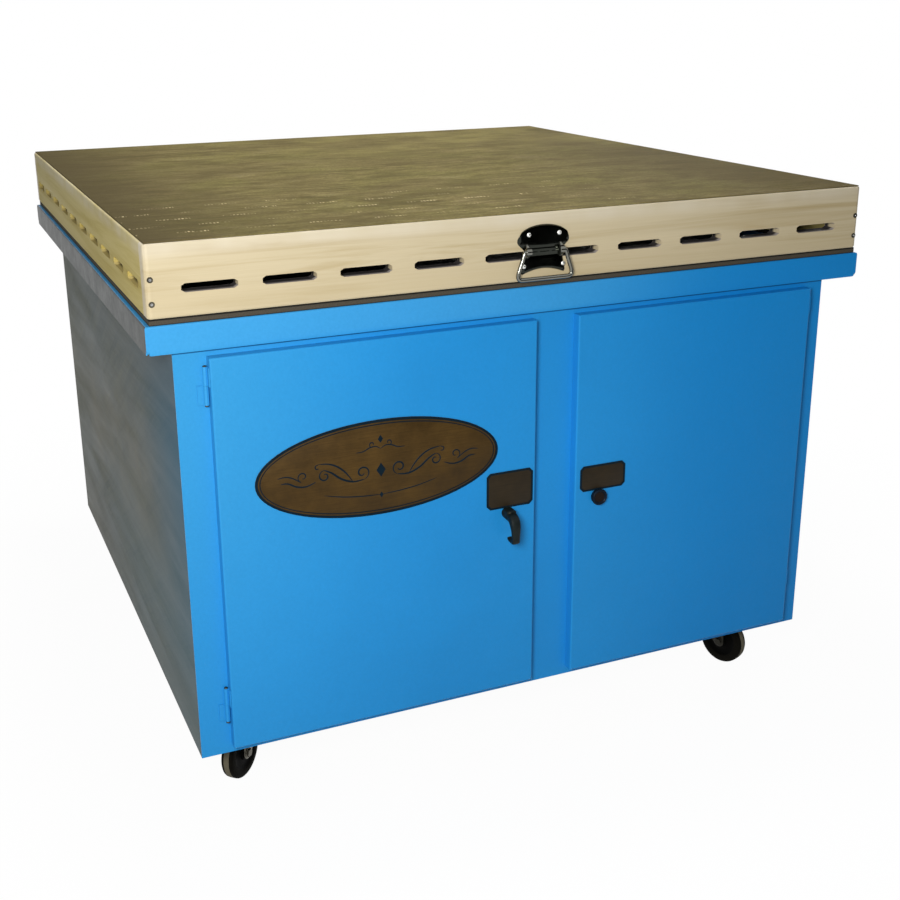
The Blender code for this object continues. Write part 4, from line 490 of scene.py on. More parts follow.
LOOKS = {
    "blue": enamel("blue_enamel"),
    "frame": enamel("frame_enamel", painted_shadow_above=RIM_UNDERSIDE),
    # The rim's side faces get a grey far darker than the side sheets: painted shade.
    "rim": enamel("rim_enamel", side=shade(SLATE, 0.25)),
    "slate": side_enamel(),
    "wood_x": grain("maple_along_x", "X", WOOD_LIGHT, WOOD_DARK, SLOT_FLOOR),
    "deck": grain("maple_deck", "X", WOOD_LIGHT, WOOD_DARK),
    "wood_y": grain("maple_along_y", "Y", SIDE_WOOD_SHADED_PALE, SIDE_WOOD_SHADED_DARK, SIDE_SLOT_FLOOR_SHADED, 0.5, 0.04),
    "mat": mat_weave(),
    "foam": foam(),
    # The handle's chrome is coloured far darker than bright chrome, a painted dark reflection; the plate's
    # is near black.
    "chrome": plated("chrome_painted_dark", (0.2, 0.2, 0.175), 0.1),
    "plate": plated("chrome_painted_near_black", (0.036, 0.039, 0.033), 0.12),
    "glint": plated("bright_screws", (0.8, 0.8, 0.76), 0.26),
    "zinc": plated("zinc_plate", (0.34, 0.33, 0.3), 0.34, "Z"),
    "steel": plated("turned_steel", (0.5, 0.5, 0.5), 0.28, "Y"),
    "screw": plated("oiled_screws", (0.085, 0.078, 0.058), 0.45, "X"),
    "aluminium": plated("cast_aluminium", (0.62, 0.63, 0.64), 0.4),
    "galvanised": galvanised(),
    "black": moulded("black_plastic", (0.0018, 0.006, 0.013), 0.34, 0.1),
    "cast_black": moulded("black_cast", (0.005, 0.008, 0.008), 0.4, 0.14, 1200.0),
    "motor": moulded("motor_grey", (0.07, 0.085, 0.095), 0.45),
    "tyre": tyre("wheel_sides", 0.015),
    "tread": tyre("wheel_tread", 0.85),
    "caster": plated("dull_zinc", (0.1, 0.093, 0.074), 0.3, "Z"),
    # A much darker copy of the caster zinc: painted shade.
    "zinc_in_shade": plated("zinc_painted_dark_for_shade", (0.024, 0.023, 0.019), 0.36, "Z"),
    "core": moulded("wheel_core", (0.001, 0.001, 0.0009), 0.5, 0.02, 900.0),
    "oval": bronze("bronze_sign", (0.04, 0.0215, 0.0042), (0.09, 0.049, 0.0105)),
    "notice": bronze("bronze_notice", (0.0165, 0.012, 0.0065), (0.034, 0.0235, 0.0115)),
    "engraved": moulded("engraving_black", (0.002, 0.009, 0.016), 0.5, 0.08),
    "dish": moulded("knob_dish", (0.01, 0.006, 0.0045), 0.45, 0.08),
    "strap": moulded("paper_band", (0.42, 0.4, 0.34), 0.8, 0.1),
    "media": media(),
}

NODES_BY_LOOK = {
    "wood_x": ("apron_front", "apron_back"), "wood_y": ("apron_left", "apron_right"),
    "deck": ("slotted_deck", "deck_joist"), "mat": ("top_mat",), "foam": ("rim_gasket",),
    "rim": ("top_rim",), "frame": ("front_frame",), "blue": ("left_door", "right_door"),
    "slate": ("left_panel", "right_panel", "back_panel", "floor_pan", "exhaust_grille"),
    "plate": ("handle_plate",), "chrome": ("handle_bail",), "cast_black": ("latch_handle",),
    "black": ("door_knob", "power_inlet"), "steel": ("motor_shaft",), "motor": ("motor", "motor_base"),
    "aluminium": ("impeller",),
    "zinc": ("latch_cam", "knob_cam", "rear_hinge_rim_leaf", "rear_hinge_apron_leaf"),
    "galvanised": ("partition", "plenum_shelf", "dust_tray", "blower_housing"),
    "media": ("front_cartridge", "rear_cartridge"),
}
NODE_LOOKS = {node: look for look, nodes in NODES_BY_LOOK.items() for node in nodes}

THIN_BEVEL = 0.0005
BEVELS = {
    "apron_left": 0.0012, "apron_right": 0.0012, "left_door": 0.001, "right_door": 0.001, "top_rim": 0.0008,
    "left_panel": 0.0006, "right_panel": 0.0006, "motor": 0.0006, "motor_base": 0.0006, "deck_joist": 0.002,
    "power_inlet": 0.002, "exhaust_grille": 0.0003, "dust_tray": 0.0003, "front_frame": THIN_BEVEL,
    "back_panel": THIN_BEVEL, "floor_pan": THIN_BEVEL, "latch_cam": THIN_BEVEL, "knob_cam": THIN_BEVEL,
}

KIND_LOOKS = {"plate": "zinc", "fork": "zinc", "axle": "steel", "wheel": "tyre", "leaf": "blue"}


def dress(node):
    """Gives a node of the model its material and softened edges."""
    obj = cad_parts[node]
    look = NODE_LOOKS.get(node) or KIND_LOOKS[node.rsplit("_", 1)[1]]
    obj.data.materials.clear()
    obj.data.materials.append(LOOKS[look])
    if node in BEVELS or node.endswith("_leaf"):
        bevel = obj.modifiers.new("soft_edges", "BEVEL")
        bevel.width = BEVELS.get(node, THIN_BEVEL)
        bevel.segments = 2
        bevel.limit_method = "ANGLE"
        bevel.angle_limit = BEVEL_ANGLE
        bevel.use_clamp_overlap = True


for node_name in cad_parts:
    dress(node_name)


def new_object(name, data):
    obj = bpy.data.objects.new(name, data)
    bpy.context.scene.collection.objects.link(obj)
    return obj


def piece(name, data, look, body, replaces=(), smooth=True):
    """Turns modelled geometry into a piece that moves with a body."""
    bmesh.ops.recalc_face_normals(data, faces=data.faces)
    mesh = bpy.data.meshes.new(name)
    data.to_mesh(mesh)
    data.free()
    if smooth:
        mesh.shade_smooth()
        mesh.set_sharp_from_angle(angle=SMOOTH_ANGLE)
    mesh.materials.append(LOOKS[look])
    obj = new_object(name, mesh)
    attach(obj, body)
    if replaces:
        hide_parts(*replaces)
    return obj


def on_axis(axis, along, across, up):
    if axis == "X":
        return Vector((along, across, up))
    if axis == "Y":
        return Vector((across, along, up))
    return Vector((across, up, along))


def circle(steps):
    """Cosine and sine of each step round a circle."""
    return [(math.cos(math.tau * step / steps), math.sin(math.tau * step / steps)) for step in range(steps)]


def skin(data, rings, loop=False):
    """Faces from each ring of points to the next.

    A loop joins the last ring to the first. Otherwise both ends are closed. A ring may be one point.
    """
    for first, second in zip(rings, rings[1:] + rings[:1] if loop else rings[1:]):
        count = max(len(first), len(second))
        for step in range(count):
            after = (step + 1) % count
            if len(first) == 1:
                data.faces.new((first[0], second[step], second[after]))
            elif len(second) == 1:
                data.faces.new((first[step], first[after], second[0]))
            else:
                data.faces.new((first[step], first[after], second[after], second[step]))
    for ring in () if loop else (rings[0], rings[-1]):
        if len(ring) > 1:
            data.faces.new(ring)
    return data


def grid(data, rows):
    """Faces between rows of points."""
    for first, second in zip(rows, rows[1:]):
        for i in range(len(first) - 1):
            data.faces.new((first[i], first[i + 1], second[i + 1], second[i]))


def lathe(data, profile, axis, centre, steps, matrix=Matrix(), loop=False):
    """Turns (radius, along) points about an axis through centre, the profile open or a loop."""
    rings = []
    for radius, along in profile:
        places = [on_axis(axis, along, centre[0] + radius * c, centre[1] + radius * s)
                  for c, s in circle(steps if radius > 0 else 1)]
        rings.append([data.verts.new(matrix @ place) for place in places])
    return skin(data, rings, loop)


def slab(data, outline, axis, low, high, bevel, steps=2):
    """An outline pushed along an axis, its two rims rounded by bevel."""
    stations = []
    for step in range(steps + 1):
        angle = math.pi / 2 * step / steps
        stations.append((bevel * (1 - math.sin(angle)), low + bevel * (1 - math.cos(angle))))
    stations += [(inset, high - (along - low)) for inset, along in reversed(stations)]
    points = [Vector(point) for point in outline]
    before, after = points[-1:] + points[:-1], points[1:] + points[:1]
    turn = math.copysign(1, sum(a.cross(b) for a, b in zip(points, after)))
    inward = []
    for a, b, c in zip(before, points, after):
        way = (b - a).normalized() + (c - b).normalized()
        inward.append(Vector((-way.y, way.x)).normalized() * turn)
    rings = []
    for inset, along in stations:
        places = [point + way * inset for point, way in zip(points, inward)]
        rings.append([data.verts.new(on_axis(axis, along, place.x, place.y)) for place in places])
    return skin(data, rings)


def tube(data, path, radius, steps):
    """A round rod along a path of points, its radius given for each share of the way."""
    points = [Vector(point) for point in path]
    normal = None
    rings = []
    for index, point in enumerate(points):
        along = (points[min(index + 1, len(points) - 1)] - points[max(index - 1, 0)]).normalized()
        if normal is None:
            normal = along.cross(Vector((0, 0, 1)))
            if normal.length < 0.1:
                normal = along.cross(Vector((0, 1, 0)))
        normal = (normal - along * normal.dot(along)).normalized()
        across = along.cross(normal)
        size = radius(index / (len(points) - 1))
        rings.append([data.verts.new(point + (normal * c + across * s) * size) for c, s in circle(steps)])
    return skin(data, rings)


def smooth_path(points, steps):
    """A smooth curve through points."""
    vectors = [Vector(point) for point in points]
    result = []
    for index in range(len(vectors) - 1):
        before = vectors[max(index - 1, 0)]
        start, end = vectors[index], vectors[index + 1]
        after = vectors[min(index + 2, len(vectors) - 1)]
        for step in range(steps):
            t = step / steps
            result.append(0.5 * ((2 * start) + (end - before) * t
                                 + (2 * before - 5 * start + 4 * end - after) * t * t
                                 + (3 * start - before - 3 * end + after) * t * t * t))
    result.append(vectors[-1])
    return result


def flat_path(points, steps):
    """A smooth curve through points of a plane."""
    return [(place.x, place.y) for place in smooth_path([(*point, 0) for point in points], steps)]


def oval_outline(centre, half_width, half_height, steps=72):
    return [(centre[0] + half_width * c, centre[1] + half_height * s) for c, s in circle(steps)]


def clipped_outline(centre, width, height, clip):
    x, z = width / 2, height / 2
    corners = [(-x + clip, -z), (x - clip, -z), (x, -z + clip), (x, z - clip),
               (x - clip, z), (-x + clip, z), (-x, z - clip), (-x, -z + clip)]
    return [(centre[0] + px, centre[1] + pz) for px, pz in corners]


def band(data, outer, inner, axis, low, high):
    """A flat ring between two outlines with the same number of points."""
    rings = [[data.verts.new(on_axis(axis, along, *point)) for point in outline]
             for outline, along in ((outer, low), (outer, high), (inner, high), (inner, low))]
    return skin(data, rings, loop=True)


# Screw and bolt heads
SEAT_DEPTH = 0.0002
DOME_STEPS = 6
HEAD_STEPS = 20


def seat(place, facing):
    """Stands a turned head on a surface at place, its axis along facing."""
    turn = Vector((0, 0, 1)).rotation_difference(Vector(facing)).to_matrix().to_4x4()
    turn.translation = place
    return turn


def domed(data, place, facing, radius=0.0038, height=0.0022):
    """A raised round screw head."""
    angles = [math.pi / 2 * step / DOME_STEPS for step in range(DOME_STEPS)]
    profile = [(radius, -SEAT_DEPTH)] + [(radius * math.cos(a), height * math.sin(a)) for a in angles]
    lathe(data, profile + [(0, height)], "Z", (0, 0), HEAD_STEPS, seat(place, facing))


def hex_bolt(data, place, facing, radius, height):
    """A hexagon head on its washer."""
    turn = seat(place, facing)
    thick, crown = 0.001, height + 0.0006
    washer = [(radius * 1.5, -SEAT_DEPTH), (radius * 1.5, thick), (0, thick)]
    head = [(radius, thick), (radius, height), (radius * 0.86, crown), (0, crown)]
    lathe(data, washer, "Z", (0, 0), HEAD_STEPS, turn)
    lathe(data, head, "Z", (0, 0), 6, turn)


# Wooden top
NEAR = 0.0005
CORNER_ROUNDING = 0.006
TOP_EDGE_ROUNDING = 0.0022
SLOT_RIM_ROUNDING = 0.0009
SLOT_LEVELS = (0.82, 0.89)
SLOT_RIM_ANGLE = 0.8
LONG_EDGE = 0.02
END_MARGIN = 0.02
APRON_SCREW_INSET = 0.0075
APRON_SCREW_LEVELS = (0.863, 0.8287)


def make_end_board(node, face):
    """Front or back board: corners rounded well over, top edge eased, slot rims just broken."""
    data = bmesh.new()
    data.from_mesh(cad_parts[node].data)
    bmesh.ops.transform(data, verts=data.verts, matrix=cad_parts[node].matrix_world)
    bmesh.ops.dissolve_limit(data, angle_limit=0.01, verts=data.verts, edges=data.edges)

    def edges(test):
        """Edges on the outer face whose two ends pass a test."""
        return [edge for edge in data.edges
                if all(abs(vert.co.y - face) < NEAR and test(vert.co) for vert in edge.verts)]

    def ease(chosen, offset, segments):
        bmesh.ops.bevel(data, geom=chosen, offset=offset, segments=segments, profile=0.5, affect="EDGES")

    ends = edges(lambda place: abs(place.x) > TOP_RIGHT - NEAR)
    ease([edge for edge in ends if edge.calc_length() > LONG_EDGE], CORNER_ROUNDING, 5)
    ease(edges(lambda place: place.z > APRON_TOP - NEAR), TOP_EDGE_ROUNDING, 3)
    low, high = SLOT_LEVELS
    rims = edges(lambda place: abs(place.x) < TOP_RIGHT - END_MARGIN and low < place.z < high)
    rims = [edge for edge in rims if edge.calc_face_angle(0.0) > SLOT_RIM_ANGLE]
    ease(rims, SLOT_RIM_ROUNDING, 2)
    piece(node.replace("apron", "top") + "_board", data, "wood_x", "lifting_top", (node,))


def make_apron_screws():
    """Two countersunk heads at each end of the front and back, with a dark rim and a rubbed middle."""
    rim = [(0.0043, -0.0004), (0.0043, 0.0003), (0.004, 0.0005), (0.0019, 0.0003), (0, 0.0003)]
    socket = [(0.0019, 0.0002), (0.0018, 0.0006), (0.0008, 0.0006), (0.0005, 0.0003), (0, 0.0003)]
    rims, sockets = bmesh.new(), bmesh.new()
    for side in (-1, 1):
        for level in APRON_SCREW_LEVELS:
            for face, way in ((TOP_FRONT, -1), (TOP_BACK, 1)):
                turn = seat((side * (TOP_RIGHT - APRON_SCREW_INSET), face, level), (0, way, 0))
                lathe(rims, rim, "Z", (0, 0), 28, turn)
                lathe(sockets, socket, "Z", (0, 0), 16, turn)
    piece("apron_screw_rims", rims, "screw", "lifting_top")
    piece("apron_screw_sockets", sockets, "steel", "lifting_top")


make_end_board("apron_front", TOP_FRONT)
make_end_board("apron_back", TOP_BACK)
make_apron_screws()

# Mat
MAT_INSET = 0.0035
MAT_STEPS = 60
MAT_LEVEL = TABLE_HEIGHT - 0.0007
MAT_WAVE = 0.0004
MAT_SPLAY = 0.0008


def make_mat():
    """Thin laid sheet with slight waves and a soft edge."""
    data = bmesh.new()
    random.seed(4)
    waves = [(random.uniform(3, 11), random.uniform(3, 11), random.uniform(0, 6)) for _ in range(5)]
    low = (-TOP_RIGHT + MAT_INSET, TOP_FRONT + MAT_INSET)
    high = (TOP_RIGHT - MAT_INSET, TOP_BACK - MAT_INSET)
    rows = []
    for j in range(MAT_STEPS + 1):
        row = []
        for i in range(MAT_STEPS + 1):
            x = low[0] + (high[0] - low[0]) * i / MAT_STEPS
            y = low[1] + (high[1] - low[1]) * j / MAT_STEPS
            lift = sum(math.sin(x * a + p) * math.cos(y * b - p) for a, b, p in waves) / len(waves)
            row.append(data.verts.new((x, y, MAT_LEVEL + MAT_WAVE * lift)))
        rows.append(row)
    grid(data, rows)
    rim = rows[0][:-1] + [row[-1] for row in rows[:-1]] + rows[-1][:0:-1] + [row[0] for row in rows[:0:-1]]
    base = []
    for vert in rim:
        splay = [(place > top - 0.001) - (place < bottom + 0.001)
                 for place, bottom, top in zip(vert.co, low, high)]
        base.append(data.verts.new((vert.co.x + MAT_SPLAY * splay[0], vert.co.y + MAT_SPLAY * splay[1],
                                    APRON_TOP + GAP)))
    for index in range(len(rim)):
        after = (index + 1) % len(rim)
        data.faces.new((rim[index], base[index], base[after], rim[after]))
    data.faces.new(base)
    return piece("top_sheet", data, "mat", "lifting_top", ("top_mat",))


mat = make_mat()

# Chest handle
PLATE_ROWS = 44
PLATE_COLUMNS = 28
HANDLE_BOTTOM = 0.818
HANDLE_SHOULDER = 0.8772
HANDLE_WAIST = 0.0325
WAIST_LEVEL = 0.8525
EDGE_ROLL = 0.0022
HANDLE_LIFT = 0.0019
HANDLE_CROWN = 0.0012
EAR_PLACE = 0.029
EAR_RADIUS = 0.0056
EAR_ROOT_RADIUS = 0.0036
HANDLE_SCREWS = ((0.0262, 0.8795), (0.034, 0.831))
PIVOT = (-0.59625, 0.854)


def handle_half_width(level):
    """Half width of the plate at a height, drawn in at the waist."""
    if level >= WAIST_LEVEL:
        t = min(1.0, (level - WAIST_LEVEL) / 0.016)
        return HANDLE_WAIST + 0.0122 * (3 * t * t - 2 * t * t * t)
    t = min(1.0, (WAIST_LEVEL - level) / 0.034)
    return HANDLE_WAIST + 0.0068 * t ** 1.3


def handle_relief(u, level):
    """How far the plate stands out: a crown across it, and a ridge between two valleys at the waist."""
    ridge = 0.0017 * math.exp(-((level - WAIST_LEVEL) / 0.0023) ** 2)
    for side in (-1, 1):
        ridge -= 0.0006 * math.exp(-((level - WAIST_LEVEL + side * 0.006) / 0.002) ** 2)
    return HANDLE_LIFT + HANDLE_CROWN * (1 - u * u) + ridge


def make_handle_plate():
    """Pressed plate: crowned upper and lower fields, a ridge at the waist and rolled edges."""
    data = bmesh.new()
    rows = []
    for j in range(PLATE_ROWS + 1):
        v = j / PLATE_ROWS
        row = []
        for i in range(PLATE_COLUMNS + 1):
            u = -1 + 2 * i / PLATE_COLUMNS
            bottom = HANDLE_BOTTOM + 0.0075 * (1 - u * u)
            tall = HANDLE_SHOULDER + 0.0168 * max(0.0, 1 - u * u) ** 0.55 - bottom
            level = bottom + tall * v
            pull = 0.0035 * max(0.0, 1 - min(v, 1 - v) * tall / 0.006) ** 2
            half = handle_half_width(level) - pull
            edge = min(1.0, min((1 - abs(u)) * half, v * tall, (1 - v) * tall) / EDGE_ROLL)
            depth = math.sqrt(max(0.0, 1 - (1 - edge) ** 2)) * handle_relief(u, level)
            row.append(data.verts.new((u * half, TOP_FRONT - GAP - depth, level)))
        rows.append(row)
    grid(data, rows)
    piece("chest_handle_plate", data, "plate", "lifting_top", ("handle_plate",))


def make_handle_ears():
    """Two curled ears that hold the bail, on short roots."""
    data = bmesh.new()
    y, z = PIVOT
    for side in (-1, 1):
        tube(data, [(side * x, y, z) for x in (0.0245, 0.0251, 0.0327, 0.0335)],
             lambda t: EAR_RADIUS - 0.0008 * (t in (0, 1)), 24)
        for rise in (0.006, -0.006):
            root = ((TOP_FRONT - 0.0012, 1.4), (TOP_FRONT - 0.004, 1.1), (y + 0.001, 0.75))
            path = [(side * EAR_PLACE, along, z + rise * share) for along, share in root]
            tube(data, smooth_path(path, 4), lambda t: EAR_ROOT_RADIUS, 12)
    piece("chest_handle_ears", data, "chrome", "lifting_top")


def make_handle_screws():
    data = bmesh.new()
    for x, level in HANDLE_SCREWS:
        depth = HANDLE_LIFT + HANDLE_CROWN * (1 - (x / 0.042) ** 2)
        for side in (-1, 1):
            domed(data, (side * x, TOP_FRONT - GAP - depth + 0.0004, level), (0, -1, 0))
    piece("chest_handle_screws", data, "glint", "lifting_top")


def make_bail():
    """Bent rod with bowed legs and a slightly thicker grip bar."""
    half = [(0.026, 0.854), (0.031, 0.854), (0.035, 0.8528), (0.0372, 0.848), (0.0396, 0.84),
            (0.0432, 0.83), (0.0459, 0.8215), (0.046, 0.8155), (0.0428, 0.8122), (0.037, 0.8114),
            (0.02, 0.8114), (0.0, 0.8114)]
    path = [(-x, PIVOT[0], z) for x, z in half] + [(x, PIVOT[0], z) for x, z in reversed(half[:-1])]
    data = tube(bmesh.new(), smooth_path(path, 5),
                lambda t: 0.0033 + 0.0003 * math.exp(-((t - 0.5) / 0.16) ** 4), 16)
    piece("chest_handle_bail", data, "chrome", "bail", ("handle_bail",))


make_handle_plate()
make_handle_ears()
make_handle_screws()
make_bail()

# Latch and knob
LATCH_X = -0.0646
KNOB_X = 0.1029
LATCH_LEVEL = 0.436
HUB_HALF = 0.0082
HUB_DEPTH = 0.0178
MOUNT_FACE = DOOR_FACE - GAP

# Middle of the lever in Y and Z, then its half width and half thickness
LEVER = [
    (-0.611, 0.434, 0.0078, 0.007), (-0.6205, 0.4338, 0.008, 0.007), (-0.6268, 0.4315, 0.0082, 0.0068),
    (-0.631, 0.4268, 0.0082, 0.0062), (-0.6336, 0.42, 0.0078, 0.0052), (-0.6348, 0.411, 0.007, 0.004),
    (-0.635, 0.402, 0.0064, 0.0037), (-0.6345, 0.3962, 0.0062, 0.0034), (-0.6315, 0.3941, 0.006, 0.0024),
    (-0.626, 0.3938, 0.0057, 0.0018), (-0.619, 0.3938, 0.0053, 0.0015), (-0.6148, 0.3948, 0.0049, 0.0013),
    (-0.6138, 0.3975, 0.0042, 0.001)]


def squircle(half_x, half_z, steps=24, power=4.0):
    """Outline of a rectangle with well rounded corners."""
    sizes = [(c, s, (abs(c) ** power + abs(s) ** power) ** (-1 / power)) for c, s in circle(steps)]
    return [(half_x * c * size, half_z * s * size) for c, s, size in sizes]


def sweep(data, stations, across):
    """A bar through (centre, half width, half thickness) stations in a plane square to across."""
    rings = []
    for index, (centre, half_width, half_thick) in enumerate(stations):
        before = stations[max(index - 1, 0)][0]
        after = stations[min(index + 1, len(stations) - 1)][0]
        normal = (after - before).normalized().cross(across).normalized()
        rings.append([data.verts.new(centre + across * px + normal * pz)
                      for px, pz in squircle(half_width, half_thick)])
    return skin(data, rings)


def make_latch():
    """L-handle: a rounded block on the door, a lever that stands off it and a hook at its foot."""
    hub = (LATCH_X, LATCH_LEVEL)
    outline = [(hub[0] + px, hub[1] + pz) for px, pz in squircle(HUB_HALF, HUB_HALF, 40, 5.0)]
    data = slab(bmesh.new(), outline, "Y", MOUNT_FACE - HUB_DEPTH, MOUNT_FACE, 0.0014, 3)
    foot = [(0.0098, MOUNT_FACE - 0.0016), (0.0098, MOUNT_FACE - 0.0005), (0.0094, MOUNT_FACE)]
    lathe(data, foot, "Y", hub, 40)
    places = flat_path([(y, z) for y, z, _, _ in LEVER], 4)
    sizes = flat_path([(width, thick) for _, _, width, thick in LEVER], 4)
    stations = [(Vector((LATCH_X, *place)), *size) for place, size in zip(places, sizes)]
    sweep(data, stations, Vector((1, 0, 0)))
    piece("latch_lever", data, "cast_black", "latch", ("latch_handle",))
    pin = [(0.0026, MOUNT_FACE - 0.017), (0.0026, MOUNT_FACE - 0.0182), (0.0023, MOUNT_FACE - 0.0186),
           (0, MOUNT_FACE - 0.0186)]
    data = lathe(bmesh.new(), pin, "Y", (LATCH_X - 0.0034, LATCH_LEVEL + 0.004), 20)
    piece("latch_pin", data, "screw", "latch")


def make_knob():
    """Round knob: a foot, a drawn-in neck, a rolled rim and a dished face."""
    profile = [(0.0126, 0.0), (0.0128, 0.0006), (0.0124, 0.0014), (0.0122, 0.0024), (0.0128, 0.0034),
               (0.0136, 0.0044), (0.01395, 0.0058), (0.0139, 0.007), (0.0134, 0.0082), (0.0126, 0.0088),
               (0.0116, 0.0089), (0.0108, 0.0085), (0.0101, 0.0076), (0.0094, 0.0066), (0, 0.0062)]
    dish = [(0.0088, 0.0064), (0.0088, 0.0068), (0.007, 0.0066), (0.0022, 0.0067), (0.0018, 0.0072),
            (0, 0.0073)]
    for name, points, steps, look, replaces in (
            ("pull_knob", profile, 56, "black", ("door_knob",)), ("pull_knob_dish", dish, 48, "dish", ())):
        points = [(radius, MOUNT_FACE - out) for radius, out in points]
        data = lathe(bmesh.new(), points, "Y", (KNOB_X, LATCH_LEVEL), steps)
        piece(name, data, look, "knob", replaces)


make_latch()
make_knob()

# Casters: place and heading of each
CASTERS = {
    "front_left": (-0.477, -0.47185, 225), "front_right": (0.4444, -0.47185, 290),
    "back_left": (-0.477, 0.43585, 240), "back_right": (0.4444, 0.43585, 262),
}
TRAIL = 0.03
WHEEL_RADIUS = 0.0445
CROWN_TOP = 0.1144
CROWN_BASE = 0.1044
WEB_TOP = 0.1094
WEB_BASE = 0.1066
LEG_INNER = 0.0128
LEG_OUTER = 0.0156
PLATE_UNDERSIDE = 0.1147
BOLT_SPREAD = (0.021, 0.0325)
FOOT_RADIUS = 0.011
FOOT_STEPS = 16
FOOT_ANGLES = (math.radians(222), math.radians(382))
TYRE_HALF = [(0.03, 0.0098), (0.0312, 0.0107), (0.034, 0.011), (0.0395, 0.0109), (0.0418, 0.0103),
             (0.0433, 0.009), (0.0441, 0.0074), (0.0443, 0.006)]
TREAD_HALF = [(0.0438, 0.0044), (0.0443, 0.0048), (0.0445, 0.0038)]
CORE_HALF = [(0.0054, 0.0125), (0.0125, 0.0125), (0.013, 0.0121), (0.0133, 0.0094), (0.015, 0.0084),
             (0.0262, 0.0084), (0.028, 0.0094), (0.03, 0.0099)]


def mirrored(half):
    """A half profile's mirror image, from its far end back."""
    return [(radius, -along) for radius, along in reversed(half)]


def make_wheel(name, matrix):
    """Black tyre with a dusty tread band on a dished core."""
    tyre_loop = [(0.03, 0.0), *TYRE_HALF, (0.0443, 0.0), *mirrored(TYRE_HALF)]
    for part, loop, steps, look, slot, replaces in (
            ("_tyre", tyre_loop, 64, "tyre", "wheel_rubber", (name + "_caster_wheel",)),
            ("_tread", TREAD_HALF + mirrored(TREAD_HALF), 64, "tread", "wheel_rubber", ()),
            ("_wheel_core", CORE_HALF + mirrored(CORE_HALF), 56, "core", "black_plastic", ())):
        data = lathe(bmesh.new(), loop, "Y", (TRAIL, WHEEL_RADIUS), steps, matrix, loop=True)
        piece(name + part, data, look, name + "_wheel", replaces)


def leg_outline():
    """A leg's outline in the wheel's plane, from the crown round the axle's foot and back."""
    start, end = FOOT_ANGLES
    angles = [start + (end - start) * step / FOOT_STEPS for step in range(FOOT_STEPS + 1)]
    foot = [(TRAIL + FOOT_RADIUS * math.cos(a), WHEEL_RADIUS + FOOT_RADIUS * math.sin(a)) for a in angles]
    rear = [(-0.0166, 0.1062), (-0.016, 0.1), (-0.0085, 0.08), (0.006, 0.056), foot[0]]
    front = [foot[-1], (0.0398, 0.06), (0.0345, 0.082), (0.0272, 0.1), (0.023, 0.1072)]
    return flat_path(rear, 5)[:-1] + foot + flat_path(front, 5)[1:]


def make_fork(name, matrix):
    """Pressed fork: a cupped crown and two legs with rounded edges and a raised rib."""
    crown = [(0.0068, WEB_TOP), (0.0205, WEB_TOP), (0.0226, WEB_TOP + 0.0008), (0.024, WEB_TOP + 0.003),
             (0.0242, CROWN_TOP - 0.0004), (0.0246, CROWN_TOP), (0.0266, CROWN_TOP),
             (0.027, CROWN_TOP - 0.0005), (0.0269, CROWN_TOP - 0.006), (0.0258, CROWN_BASE + 0.0016),
             (0.0232, CROWN_BASE + 0.0006), (0.02, WEB_BASE), (0.0068, WEB_BASE)]
    data = lathe(bmesh.new(), crown, "Z", (0, 0), 56, loop=True)
    for side in (-1, 1):
        low, high = sorted((side * LEG_INNER, side * LEG_OUTER))
        slab(data, leg_outline(), "Y", low, high, 0.0005)
        face = side * (LEG_OUTER - 0.0001)
        rib = [(0.004 + 0.0195 * t, face, 0.0985 - 0.036 * t) for t in (0, 0.33, 0.67, 1)]
        tube(data, rib, lambda t: 0.0011 - 0.0006 * abs(2 * t - 1) ** 3, 10)
    bmesh.ops.transform(data, verts=data.verts, matrix=matrix)
    # The casters other than the front left get the darker copy of the zinc: painted shade.
    look = "caster" if name == "front_left" else "zinc_in_shade"
    piece(name + "_fork", data, look, name + "_swivel", (name + "_caster_fork",))
    data = bmesh.new()
    washer = [(0.0086, 0), (0.0086, 0.0008), (0.008, 0.0011), (0, 0.0011)]
    head = [(0.0073, 0.0011), (0.0073, 0.0036), (0.0064, 0.0043), (0, 0.0043)]
    for side in (-1, 1):
        face = Matrix.Rotation(math.radians(-90 * side), 4, "X")
        face.translation = (TRAIL, side * (LEG_OUTER + 0.00005), WHEEL_RADIUS)
        lathe(data, washer, "Z", (0, 0), 28, matrix @ face)
        lathe(data, head, "Z", (0, 0), 6, matrix @ face)
    piece(name + "_axle_bolt", data, look, name + "_swivel", (name + "_caster_axle",))


def make_casters():
    for name, (x, y, heading) in CASTERS.items():
        matrix = Matrix.Translation((x, y, 0)) @ Matrix.Rotation(math.radians(heading), 4, "Z")
        make_wheel(name, matrix)
        make_fork(name, matrix)
        data = bmesh.new()
        for side in (-1, 1):
            for end in (-1, 1):
                spot = (x + side * BOLT_SPREAD[0], y + end * BOLT_SPREAD[1], PLATE_UNDERSIDE)
                hex_bolt(data, spot, (0, 0, -1), 0.0058, 0.0032)
        piece(name + "_mounting_bolts", data, "caster", "cabinet")


make_casters()

# Hinge pins, screws and bolts
HINGE_LEAF = 0.0015
HINGE_X = (-0.5353, 0.5153)
HINGE_Y = -0.58815
KNUCKLES = ((0.677, 0.733), (0.1637, 0.2207))
REAR_LEAF_SCREWS = [-0.42 + 0.12 * index for index in range(8)]
GRILLE_FACE = 0.5561
INLET_FACE = 0.5779
SCROLL_FACE = 0.2479
MOTOR_END = 0.4582
BLOWER_AXIS = (0.20785, 0.31185)


